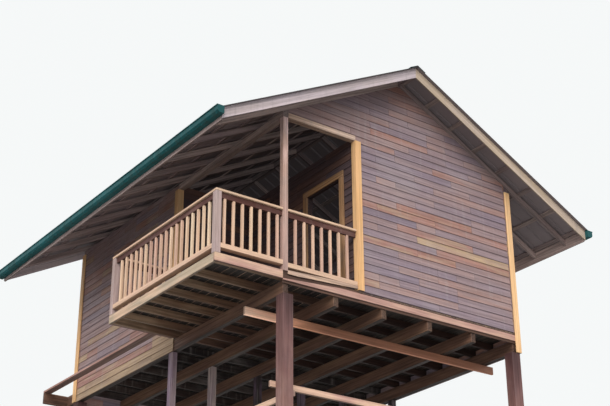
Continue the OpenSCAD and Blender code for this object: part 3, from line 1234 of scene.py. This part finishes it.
@dataclass
class LappedWall:
    """A wall of lapped boards outside, a core and lining boards inside.

    Its own frame has X along the wall, Y inwards from the outer face and Z up from the deck.

    Attributes:
        node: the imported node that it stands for.
        length: its length.
        height: its height over the deck.
        place: puts its own frame into the house's.
        skirt: how far its boards reach below the deck.
        slope: how steeply its top climbs inwards.
        doorway: its opening, if it has one.
        seed: starts the random draws.
        siding: how far behind the outer face the core starts.
        lap: the height of a course.
        step: how far a course steps out over the one below.
        board_t: the thickness of a lapped board.
        overlap: how far it reaches behind the next course.
        butt: the gap where two boards meet.
        arris: how far the boards' edges are rounded off.
        lining: the thickness of the lining boards.
        lining_w: their width.
        lining_gap: the gap between two of them.
        core_tone: the tone of the core.
        stud_gap: the distance between two studs.
        most_studs: how many studs a board reaches over at most.
        long_board: the stretch past which a course is split into boards.
        short_board: the shortest board that starts a stretch.
        short_end: the shortest board that ends it.
        least: the shortest stretch beside a doorway.
        low_tones: the tones of the boards in the skirt.
        low_top: the height under which a board counts as one of them.
        warmth: what is added to the other boards' tones.
        finish: its finish's name.
        seen: the boards whose tone is known.
        nails: the places of its nails, found as the boards go up.
        nail_up: how far a nail is above its board's lower edge.
        nail_in: how far the last nail is from a board's end.
    """

    node: str
    length: float
    height: float
    place: Matrix
    skirt: float = 0.0
    slope: float = 0.0
    doorway: Doorway | None = None
    seed: int = 0
    siding: float = 0.024
    lap: float = 0.12
    step: float = 0.011
    board_t: float = 0.0095
    overlap: float = 0.02
    butt: float = 0.0025
    arris: float = 0.0015
    lining: float = 0.018
    lining_w: float = 0.135
    lining_gap: float = 0.001
    core_tone: float = 0.3
    stud_gap: float = 0.4
    most_studs: int = 4
    long_board: float = 1.2
    short_board: float = 0.35
    short_end: float = 0.4
    least: float = 0.01
    low_tones: Pair = (0.76, 0.93)
    low_top: float = -1.0
    warmth: float = 0.0
    finish: str = "wall"
    seen: tuple[Triple, ...] = ()
    nails: list[Matrix] = field(default_factory=list)
    nail_up: float = 0.027
    nail_in: float = 0.014

    def spans(self, bottom: float, start: float, end: float) -> list[Pair]:
        """Splits a course beside the doorway.

        Args:
            bottom: the height of the course's lower edge.
            start: the course's start along the wall.
            end: its end.

        Returns:
            The start and end of each part.
        """
        door = self.doorway
        if door is None or bottom >= door.height - self.least or door.end <= start or door.start >= end:
            return [(start, end)]
        return [(a, b) for a, b in ((start, door.start), (door.end, end)) if b - a > self.least]

    def joints(self, bench: Bench, start: float, end: float) -> list[float]:
        """Chooses where a course's boards meet, always on a stud.

        Args:
            bench: gives the random draws.
            start: the course's start along the wall.
            end: its end.

        Returns:
            The ends of the boards, in order.
        """
        ends = [start]
        while end - ends[-1] > self.long_board:
            studs = bench.draw.randint(1, self.most_studs)
            following = (math.floor(ends[-1] / self.stud_gap) + studs) * self.stud_gap
            if following - ends[-1] < self.short_board:
                continue
            if end - following < self.short_end:
                break
            ends.append(following)
        return ends + [end]

    def course(
        self, bench: Bench, bottom: float, top: float, start: float, end: float, above: float = 0.0
    ) -> None:
        """Nails up one course of lapped boards.

        Args:
            bench: cuts the boards.
            bottom: the height of the lower edge over the deck.
            top: the height of the upper edge.
            start: where it starts along the wall.
            end: where it ends.
            above: how far its lower edge is above the lower edge of a whole course.
        """
        tall = top - bottom
        lean = self.step / self.lap
        shear = Matrix.Identity(4)
        shear[1][2] = lean
        depth = self.board_t / 2 + lean * (tall / 2 + above)
        for left, right in self.spans(bottom, start, end):
            ends = self.joints(bench, left, right)
            for a, b in zip(ends, ends[1:]):
                middle = Vector(((a + b) / 2, depth, bottom + tall / 2))
                size = Vector((b - a - self.butt, self.board_t, tall))
                place = self.place @ Matrix.Translation(middle) @ shear
                bench.cut(size, place, self.tone(bench, a, b, bottom, top))
                self.nail(a, b, bottom, lean * (self.nail_up + above))

    def nail(self, start: float, end: float, bottom: float, depth: float) -> None:
        """Marks a board's nails, one at each stud and one at each end.

        Args:
            start: the board's start along the wall.
            end: its end.
            bottom: the height of its lower edge.
            depth: how far its face lies behind the wall's outer plane there.
        """
        first = math.floor(start / self.stud_gap) + 1
        last = math.ceil(end / self.stud_gap)
        studs = [i * self.stud_gap for i in range(first, last)]
        for x in (start + self.nail_in, *studs, end - self.nail_in):
            spot = Matrix.Translation((x, depth, bottom + self.nail_up))
            self.nails.append(self.place @ spot @ Matrix.Rotation(math.pi / 2, 4, "X"))

    def tone(self, bench: Bench, start: float, end: float, bottom: float, top: float) -> float:
        """Draws a board's tone, unless the photo shows it.

        Args:
            bench: gives the random draws.
            start: the board's start along the wall.
            end: its end.
            bottom: the height of its lower edge.
            top: the height of its upper edge.

        Returns:
            The tone.
        """
        kind = bench.draw.random()
        drawn = bench.draw.uniform(*next(tones for share, tones in BOARD_MIX if kind < share))
        if top < self.low_top:
            drawn = bench.draw.uniform(*self.low_tones)
        for along, height, tone in self.seen:
            if start <= along < end and bottom <= height < top:
                return tone
        return drawn + self.warmth

    def slab(self, bench: Bench, low: Triple, high: Triple, tone: float | None = None) -> None:
        """Cuts a plain timber in the wall's own frame, with its grain along the wall.

        Args:
            bench: cuts the timber.
            low: its lowest corner.
            high: its highest corner.
            tone: its tone.
        """
        low, high = Vector(low), Vector(high)
        verts = bench.cut(high - low, self.place @ Matrix.Translation((low + high) / 2), tone)
        if self.slope and high.z > self.height:
            point = self.place @ Vector((0.0, 0.0, self.height))
            bench.trim(verts, point, self.place.to_3x3() @ Vector((0.0, -self.slope, 1.0)))

    def backing(self, bench: Bench) -> None:
        """Builds the core and the lining boards behind the lapped boards.

        Args:
            bench: cuts the timbers.
        """
        top = self.height + WALL_T * self.slope
        face = WALL_T - self.lining
        for start, end in self.spans(0.0, 0.0, self.length):
            limit = top if self.doorway is None else self.doorway.height
            self.slab(bench, (start, self.siding, 0.0), (end, face, limit), self.core_tone)
        if self.doorway:
            head = (0.0, self.siding, self.doorway.height)
            self.slab(bench, head, (self.length, face, top), self.core_tone)
        for i in range(math.ceil(top / self.lining_w)):
            bottom = i * self.lining_w
            for start, end in self.spans(bottom, 0.0, self.length):
                high = min(bottom + self.lining_w - self.lining_gap, top)
                self.slab(bench, (start, face, bottom), (end, WALL_T, high))

    def side(self, bench: Bench) -> None:
        """Puts up the wall's timbers.

        Args:
            bench: cuts the timbers.
        """
        count = math.ceil((self.height + self.skirt) / self.lap - NOTHING)
        for i in range(count):
            bottom = i * self.lap - self.skirt
            top = min(bottom + self.lap + self.overlap, self.height)
            self.course(bench, bottom, top, 0.0, self.length)
        self.backing(bench)

    def build(self) -> None:
        """Builds the wall."""
        bench = Bench(self.seed, self.arris)
        self.side(bench)
        bench.piece(f"{self.node}_boards", self.finish, self.node)


@dataclass
class Gable(LappedWall):
    """The lapped boards over the wall plates, cut to the slope of the roof.

    Attributes:
        survey: the house's main lines.
        spare: how far a course reaches past the slope before it is cut.
    """

    survey: Survey | None = None
    spare: float = 0.03

    def side(self, bench: Bench) -> None:
        """Puts up the gable's timbers.

        Args:
            bench: cuts the timbers.
        """
        s = self.survey
        half = self.length / 2
        peak = s.under_z(0.0) - s.deck_z
        bottom = math.floor((self.height + self.skirt) / self.lap) * self.lap - self.skirt
        while bottom < peak:
            low = max(bottom, self.height)
            reach = min(half, (peak - low) / s.rise + self.spare)
            top = bottom + self.lap + self.overlap
            self.course(bench, low, top, half - reach, half + reach, low - bottom)
            bottom += self.lap
        start = (0.0, self.siding, self.height)
        self.slab(bench, start, (self.length, WALL_T, peak), self.core_tone)
        for way in (-1, 1):
            ridge = Vector((0.0, 0.0, s.under_z(0.0)))
            bench.trim(list(bench.bm.verts), ridge, (way * s.rise, 0.0, 1.0))


@dataclass
class Walls:
    """All walls of the room, and both gables.

    Attributes:
        survey: the house's main lines.
        nail_clear: how far a nail stays below the gable's slope.
        nail: the head of a nail.
    """

    survey: Survey
    nail_clear: float = 0.02
    nail: Head = Head(0.0034, 0.0016, 6)

    def door(self) -> Doorway:
        """Measures the doorway in the veranda's side wall, from the trim around it."""
        s = self.survey
        low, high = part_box("doorway_trim")
        base = s.veranda_y + WALL_T
        return Doorway(base - (high.y - CASING_W), base - (low.y + CASING_W), high.z - CASING_W - s.deck_z)

    def shows(self, nail: Matrix) -> bool:
        """Tells whether a nail is in a wall's face and not past a gable's slope.

        Args:
            nail: the nail's place.

        Returns:
            Whether it is driven.
        """
        s = self.survey
        x, _, z = nail.translation
        roof = s.under_z(0.0) - self.nail_clear
        return z < roof - abs(x) * s.rise or abs(x) > s.wall_x - WALL_T

    def build(self) -> None:
        """Builds the walls and gables, each with its nails."""
        s = self.survey
        tall = s.plate_z - s.deck_z
        skirt = s.deck_z - s.bearer_z
        inner = s.wall_x - WALL_T
        width = 2 * inner
        deep = s.back_y - s.front_y
        turn = {angle: Matrix.Rotation(math.radians(angle), 4, "Z") for angle in (0, 90, 180, -90)}

        def at(x: float, y: float, angle: int) -> Matrix:
            """Returns the frame of a wall that starts at x, y and is turned by an angle."""
            return Matrix.Translation((x, y, s.deck_z)) @ turn[angle]

        walls = [
            LappedWall("front_wall", inner - s.room_x, tall, at(s.room_x, s.front_y, 0), seed=41,
                       seen=SEEN_BOARDS),
            LappedWall("right_wall", deep, tall, at(s.wall_x, s.front_y, 90), skirt, s.rise, seed=42),
            LappedWall("back_wall", width, tall, at(inner, s.back_y, 180), skirt, seed=43),
            LappedWall("left_wall", s.back_y - s.veranda_y, tall, at(-s.wall_x, s.back_y, -90), skirt,
                       s.rise, seed=44, low_top=-0.07, warmth=0.2),
            LappedWall("veranda_back_wall", s.room_x + s.wall_x - WALL_T, tall,
                       at(-inner, s.veranda_y, 0), seed=45, finish="shaded_wall"),
            LappedWall("veranda_side_wall", s.veranda_y - s.front_y, tall,
                       at(s.room_x, s.veranda_y + WALL_T, -90), doorway=self.door(), seed=46,
                       finish="shaded_wall"),
            Gable("front_gable", width, tall, at(-inner, s.front_y, 0), seed=47, survey=s),
            Gable("back_gable", width, tall, at(inner, s.back_y, 180), skirt, seed=48, survey=s),
        ]
        for wall in walls:
            wall.build()
            self.nail.drive(f"{wall.node}_nails", "nail", filter(self.shows, wall.nails))


@dataclass
class Trims:
    """Corner boards, the doorway's casing, the veranda post and its headers.

    Attributes:
        survey: the house's main lines.
        thick: the thickness of a corner board.
        timbers: the post, painted lighter at its top, and the front header, painted lighter to the right,
            both as painted light.
    """

    survey: Survey
    thick: float = 0.022
    timbers: tuple[Timbers, ...] = (
        Timbers("veranda_post_timber", "post", Along.Z, "veranda_post", 53, fades=True),
        Timbers("front_header_timber", "header", Along.X, "front_header", 54, fades=True),
    )

    def corner_boards(self) -> None:
        """Builds two boards round each corner."""
        bench = Bench(51)
        for low, high in solids("corner_trims"):
            out_x = abs(low.x) > abs(high.x)
            out_y = abs(low.y) > abs(high.y)
            edge_x = low.x + self.thick if out_x else high.x - self.thick
            edge_y = low.y + self.thick if out_y else high.y - self.thick
            front = ((low.x, low.y), (high.x, edge_y)) if out_y else ((low.x, edge_y), (high.x, high.y))
            side_y = (edge_y, high.y) if out_y else (low.y, edge_y)
            side_x = (low.x, edge_x) if out_x else (edge_x, high.x)
            for (x0, y0), (x1, y1) in (front, tuple(zip(side_x, side_y))):
                bench.beam((x0, y0, low.z), (x1, y1, high.z), Along.Z)
        bench.piece("corner_boards", "trim", "corner_trims")

    def casing(self) -> None:
        """Builds the jambs and head round the doorway."""
        bench = Bench(52)
        low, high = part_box("doorway_trim")
        head = high.z - CASING_W
        bench.beam(low, (high.x, low.y + CASING_W, head), Along.Z)
        bench.beam((low.x, high.y - CASING_W, low.z), (high.x, high.y, head), Along.Z)
        bench.beam((low.x, low.y, head), high, Along.Y)
        bench.piece("doorway_casing", "casing", "doorway_trim")

    def side_header(self) -> None:
        """Builds the header along the gallery, cut to the slope of the rafters."""
        s = self.survey
        bench = Bench(55, 0.004, (0.5, 1.0))
        verts = bench.beam(*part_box("side_header"), Along.Y)
        bench.trim(verts, Vector((-s.wall_x, 0.0, s.plate_z)), (-s.rise, 0.0, 1.0))
        bench.piece("side_header_timber", "roof", "side_header")

    def build(self) -> None:
        """Builds all trims."""
        self.corner_boards()
        self.casing()
        for timbers in self.timbers:
            timbers.build()
        self.side_header()


@dataclass(frozen=True)
class Panel:
    """One panel of balusters.

    Attributes:
        node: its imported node.
        along: the direction in which it runs.
        first: how many steps the first baluster stands from the end.
        lift: how far its bottom rail is above the node's lowest place.
    """

    node: str
    along: Along
    first: float
    lift: float


@dataclass
class Balustrades:
    """Newels, panels of balusters and the handrail.

    Attributes:
        stick: the width of a baluster.
        pitch: the distance between two balusters.
        rail_w: the height of the rail under the handrail.
        foot_h: the height of the bottom rail.
        hand_w: the width of the handrail.
        rail_tones: the tones of the rail under the handrail and of the bottom rail. The first is the
            darkest, as painted shade under the handrail.
        tones: the tones that a baluster may have.
        panels: the panels, in the order of their seeds.
        newels: the newel posts.
    """

    stick: float = 0.038
    pitch: float = 0.155
    rail_w: float = 0.09
    foot_h: float = 0.073
    hand_w: float = 0.1
    rail_tones: Pair = (0.0, 0.68)
    tones: tuple[float, ...] = (0.5, 0.6, 0.66, 0.72, 0.78, 0.92)
    panels: tuple[Panel, ...] = (
        Panel("front_balustrade_left", Along.X, 0.5, 0.033),
        Panel("front_balustrade_right", Along.X, 1.0, 0.008),
        Panel("left_balustrade", Along.Y, 1.0, 0.033),
        Panel("end_balustrade", Along.X, 0.5, 0.033),
    )
    newels: Timbers = Timbers("newel_posts", "newel", Along.Z, "newels", 61, (0.3, 0.9))

    def panel(self, panel: Panel, seed: int) -> None:
        """Builds one panel: the bottom rail, the balusters and the rail under the handrail.

        Args:
            panel: which panel it is.
            seed: starts its random draws.
        """
        low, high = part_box(panel.node)
        axis = panel.along.value
        across = 1 - axis
        middle = (low[across] + high[across]) / 2
        length = high[axis] - low[axis]
        count = round(length / self.pitch)
        step = length / count

        def box(start: float, end: float, half: float, bottom: float, top: float) -> Box:
            """Finds a box that is centred on the panel's middle line.

            Args:
                start: where it starts along the panel.
                end: where it ends.
                half: half of its width.
                bottom: the height of its foot.
                top: the height of its top.

            Returns:
                Its lowest and highest corner.
            """
            a, b = Vector((0.0, 0.0, bottom)), Vector((0.0, 0.0, top))
            a[axis], b[axis] = start, end
            a[across], b[across] = middle - half, middle + half
            return a, b

        bench = Bench(seed)
        half = self.stick / 2
        base = low.z + panel.lift
        foot = base + self.foot_h
        rail = high.z - self.rail_w
        # Painted shade: the rail under the handrail gets the darkest tone.
        rail_tone, foot_tone = self.rail_tones
        whole = (high[across] - low[across]) / 2
        bench.beam(*box(low[axis], high[axis], whole, base, foot), panel.along, tone=foot_tone)
        bench.beam(*box(low[axis], high[axis], half, rail, high.z), panel.along, tone=rail_tone)
        for i in range(count if panel.first < 1.0 else count - 1):
            at = low[axis] + (i + panel.first) * step
            tone = bench.draw.choice(self.tones)
            bench.beam(*box(at - half, at + half, half, foot, rail), Along.Z, tone=tone)
        bench.piece(f"{panel.node}_sticks", "rail", panel.node)

    def handrail(self) -> None:
        """Builds the handrail, mitred at the gallery's corners."""
        bench = Bench(66, 0.006, (0.7, 0.82))
        long, short = sorted(solids("handrail"), key=lambda box: box[1].y - box[0].y, reverse=True)
        low, high = long
        bench.beam(*short, Along.X)
        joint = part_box("front_balustrade_left")[1].x
        front = bench.beam(low, (joint, low.y + self.hand_w, high.z), Along.X)
        side = bench.beam(low, (low.x + self.hand_w, high.y, high.z), Along.Y)
        end = bench.beam((low.x, high.y - self.hand_w, low.z), high, Along.X)
        near, far = Vector((low.x, low.y, 0.0)), Vector((low.x, high.y, 0.0))
        bench.trim(front, near, (-1.0, 1.0, 0.0))
        bench.trim(side, near, (1.0, -1.0, 0.0))
        bench.trim(side, far, (1.0, 1.0, 0.0))
        bench.trim(end, far, (-1.0, -1.0, 0.0))
        bench.piece("handrail_timbers", "rail", "handrail")

    def build(self) -> None:
        """Builds newels, panels and handrail."""
        self.newels.build()
        for seed, panel in enumerate(self.panels, 62):
            self.panel(panel, seed)
        self.handrail()


@dataclass
class Roof:
    """Rafters, battens, boards along the edges, and the metal sheets with their screws.

    Attributes:
        survey: the house's main lines.
        rafter_d: the depth of a rafter.
        batten: the width and thickness of a batten.
        barge_d: the depth of a barge board.
        barge_tones: the tones of the barge boards on the left and right slope.
        rib_gap: the distance between two ribs of the sheets.
        sheet_h: the height of the ribs.
        washer: a roof screw's washer.
        screw: its head.
        ridge: the ridge board.
        eaves: the boards along the eaves.
    """

    survey: Survey
    rafter_d: float = 0.09
    batten: Pair = (0.075, 0.025)
    barge_d: float = 0.16
    barge_tones: Pair = (0.1, 0.9)
    rib_gap: float = 0.25
    sheet_h: float = 0.02
    washer: Head = Head(0.008, 0.002, 8)
    screw: Head = Head(0.0055, 0.005, 6)
    ridge: Timbers = Timbers("ridge_timber", "roof", Along.Y, "ridge_board", 74, arris=0.003)
    eaves: Timbers = Timbers("eave_planks", "roof", Along.Y, "eave_boards", 76, (0.4, 1.0), arris=0.003)

    def tilt(self, x: float) -> Matrix:
        """Returns the turn of the slope on one side of the ridge."""
        return Matrix.Rotation(math.copysign(math.atan(self.survey.rise), x), 4, "Y")

    def strip(self, bench: Bench, side: int, box: Box, depth: float, tone: float | None = None) -> None:
        """Cuts a sloping timber with plumb ends.

        Args:
            bench: cuts the timber.
            side: 1 on the right slope and -1 on the left.
            box: the timber's box.
            depth: its depth, square to the slope.
            tone: its tone, or None for a random one.
        """
        low, high = box
        rise = self.survey.rise
        shear = Matrix.Identity(4)
        shear[2][0] = -side * rise
        size = Vector((high.x - low.x, high.y - low.y, depth * math.hypot(1.0, rise)))
        bench.cut(size, Matrix.Translation((low + high) / 2) @ shear, tone)

    def timbers(self) -> None:
        """Builds rafters and battens."""
        for node, side, seed in (("left_rafters", -1, 71), ("right_rafters", 1, 72)):
            bench = Bench(seed)
            for box in solids(node):
                self.strip(bench, side, box, self.rafter_d)
            bench.piece(f"{node}_timbers", "roof", node)
        bench = Bench(73, 0.002)
        for low, high in solids("roof_battens"):
            middle = (low + high) / 2
            place = Matrix.Translation(middle) @ self.tilt(middle.x) @ Along.Y.turn()
            bench.cut(Vector((high.y - low.y, *self.batten)), place)
        bench.piece("roof_batten_strips", "roof", "roof_battens")

    def barges(self) -> None:
        """Builds the barge boards, two over each gable."""
        bench = Bench(75)
        for low, high in solids("barge_boards"):
            for side, tone in zip((-1, 1), self.barge_tones):
                start, end = sorted((0.0, side * high.x))
                part = (Vector((start, low.y, low.z)), Vector((end, high.y, high.z)))
                self.strip(bench, side, part, self.barge_d, tone)
        bench.piece("barge_planks", "fascia", "barge_boards")

    def sheets(self) -> None:
        """Paints the metal sheets."""
        material, slot = coat("sheet")
        for node in ("left_sheets", "right_sheets", "ridge_cap", "eave_gutters"):
            made = bpy.data.objects[node]
            made.data.materials.clear()
            made.data.materials.append(material)

    def screws(self) -> None:
        """Drives screws with washers into the battens, at every second rib where no edge is near."""
        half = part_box("left_sheets")[1].y
        count = math.floor(2 * half / self.rib_gap)
        middles = [(low + high) / 2 for low, high in solids("roof_battens")]
        reach = sorted({round(abs(middle.x), 3) for middle in middles})
        places = []
        for middle in middles:
            edge = round(abs(middle.x), 3) in (reach[0], reach[-1])
            for i in range(0, count, 1 if edge else 2):
                spot = Vector((middle.x, (i - (count - 1) / 2) * self.rib_gap, middle.z))
                places.append(Matrix.Translation(spot) @ self.tilt(middle.x))
        lift = self.batten[1] / 2 + self.sheet_h
        self.washer.drive("roof_screw_washers", "nail", places, lift)
        self.screw.drive("roof_screw_heads", "sheet", places, lift + self.washer.height)

    def build(self) -> None:
        """Builds the roof."""
        self.screws()
        self.timbers()
        self.ridge.build()
        self.barges()
        self.eaves.build()
        self.sheets()


# The studio


@dataclass(frozen=True)
class Lamp:
    """A sun lamp.

    Attributes:
        name: its name.
        energy: its strength.
        breadth: how broad it is, in degrees.
        colour: its colour.
        way: the direction of its light.
        shadow: whether it throws shadows.
    """

    name: str
    energy: float
    breadth: float
    colour: Colour
    way: Triple
    shadow: bool = True

    def hang(self) -> None:
        """Adds the lamp to the scene."""
        data = bpy.data.lights.new(self.name, "SUN")
        data.energy = self.energy
        data.angle = math.radians(self.breadth)
        data.color = self.colour
        data.use_shadow = self.shadow
        made = show(self.name, data)
        made.matrix_world = Vector(self.way).to_track_quat("-Z", "Y").to_matrix().to_4x4()


@dataclass
class Studio:
    """The camera, the pale floor and the soft light.

    Attributes:
        eye: the camera's place.
        heading: its turn to the right of +Y, in degrees.
        pitch: how far it looks up, in degrees.
        roll: its roll, in degrees.
        lens: its focal length in millimetres.
        sensor: the width of its sensor in millimetres.
        reach: how far it sees.
        floor_r: the floor's radius.
        floor_z: the floor's height, just below the stilts.
        floor_sides: how many sides its circle has.
        sky_low: the sky's light from below.
        sky_high: its light from above.
        sky_span: how high the lower light ends and the upper one starts.
        backdrop: what the camera sees of the sky.
        lamps: a broad soft key over the front left, and a weak fill that lifts the deep shade.
    """

    eye: Triple = (-12.182, -17.420, -4.013)
    heading: float = 35.935
    pitch: float = 25.684
    roll: float = -0.339
    lens: float = 76.41
    sensor: float = 36.0
    reach: float = 200.0
    floor_r: float = 7.2
    floor_z: float = -0.003
    floor_sides: int = 96
    sky_low: Colour = (0.08, 0.073, 0.07)
    sky_high: Colour = (0.98, 1.01, 1.05)
    sky_span: Pair = (-0.45, 0.22)
    backdrop: Colour = (0.92, 0.94, 0.94)
    lamps: tuple[Lamp, ...] = (
        Lamp("key", 2.8, 50.0, (1.0, 0.97, 0.92), (0.62, 0.7, -0.56)),
        Lamp("fill", 0.36, 10.0, (0.9, 0.97, 1.0), (0.55, 0.76, 0.35), shadow=False),
    )

    def camera(self) -> None:
        """Places the camera, which looks up at the house from down the slope."""
        data = bpy.data.cameras.new("camera")
        data.lens = self.lens
        data.sensor_width = self.sensor
        data.clip_end = self.reach
        made = show("camera", data)
        turn = (
            Matrix.Rotation(math.radians(-self.heading), 4, "Z")
            @ Matrix.Rotation(math.radians(90.0 + self.pitch), 4, "X")
            @ Matrix.Rotation(math.radians(self.roll), 4, "Z")
        )
        made.matrix_world = Matrix.Translation(self.eye) @ turn
        bpy.context.scene.camera = made

    def floor(self) -> None:
        """Lays a round pale floor under the house."""
        bm = bmesh.new()
        made = bmesh.ops.create_circle(
            bm, cap_ends=True, radius=self.floor_r, segments=self.floor_sides
        )
        bmesh.ops.translate(bm, verts=made["verts"], vec=(0.0, 0.0, self.floor_z))
        mesh = bpy.data.meshes.new("floor")
        bm.to_mesh(mesh)
        bm.free()
        mesh.materials.append(coat("floor")[0])
        floor = show("floor", mesh)
        floor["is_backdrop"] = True

    def sky(self) -> None:
        """Makes a pale backdrop that gives most of its light from above."""
        world = bpy.data.worlds.new("sky")
        bpy.context.scene.world = world
        world.use_nodes = True
        on = Wiring(world.node_tree)
        nodes = on.tree.nodes
        nodes.clear()
        way = nodes.new("ShaderNodeTexCoord").outputs["Generated"]
        up = on.spread(on.part(way, "Z"), *self.sky_span)
        light = on.blend(up, rgba(self.sky_low), rgba(self.sky_high))
        ray = nodes.new("ShaderNodeLightPath").outputs["Is Camera Ray"]
        shader = nodes.new("ShaderNodeBackground")
        on.feed(shader.inputs["Color"], on.blend(ray, light, rgba(self.backdrop)))
        on.feed(nodes.new("ShaderNodeOutputWorld").inputs["Surface"], shader.outputs[0])

    def build(self) -> None:
        """Builds camera, floor and light."""
        bpy.context.scene.view_settings.view_transform = "Standard"
        self.camera()
        self.floor()
        self.sky()
        for lamp in self.lamps:
            lamp.hang()


def corners() -> list[list[float]]:
    """Returns the shown object's lowest and highest corner as plain lists."""
    return [[float(c) for c in corner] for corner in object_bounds()]


def main() -> None:
    """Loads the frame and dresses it."""
    logging.basicConfig(level=logging.INFO, format="%(name)s: %(message)s")
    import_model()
    survey = Survey.read()
    Studio().build()
    for part in (Frame(survey), Decks(survey), Walls(survey), Trims(survey), Balustrades(), Roof(survey)):
        part.build()
        LOG.info("%s is done", type(part).__name__)
    bpy.context.view_layer.update()


if __name__ == "__main__":
    main()
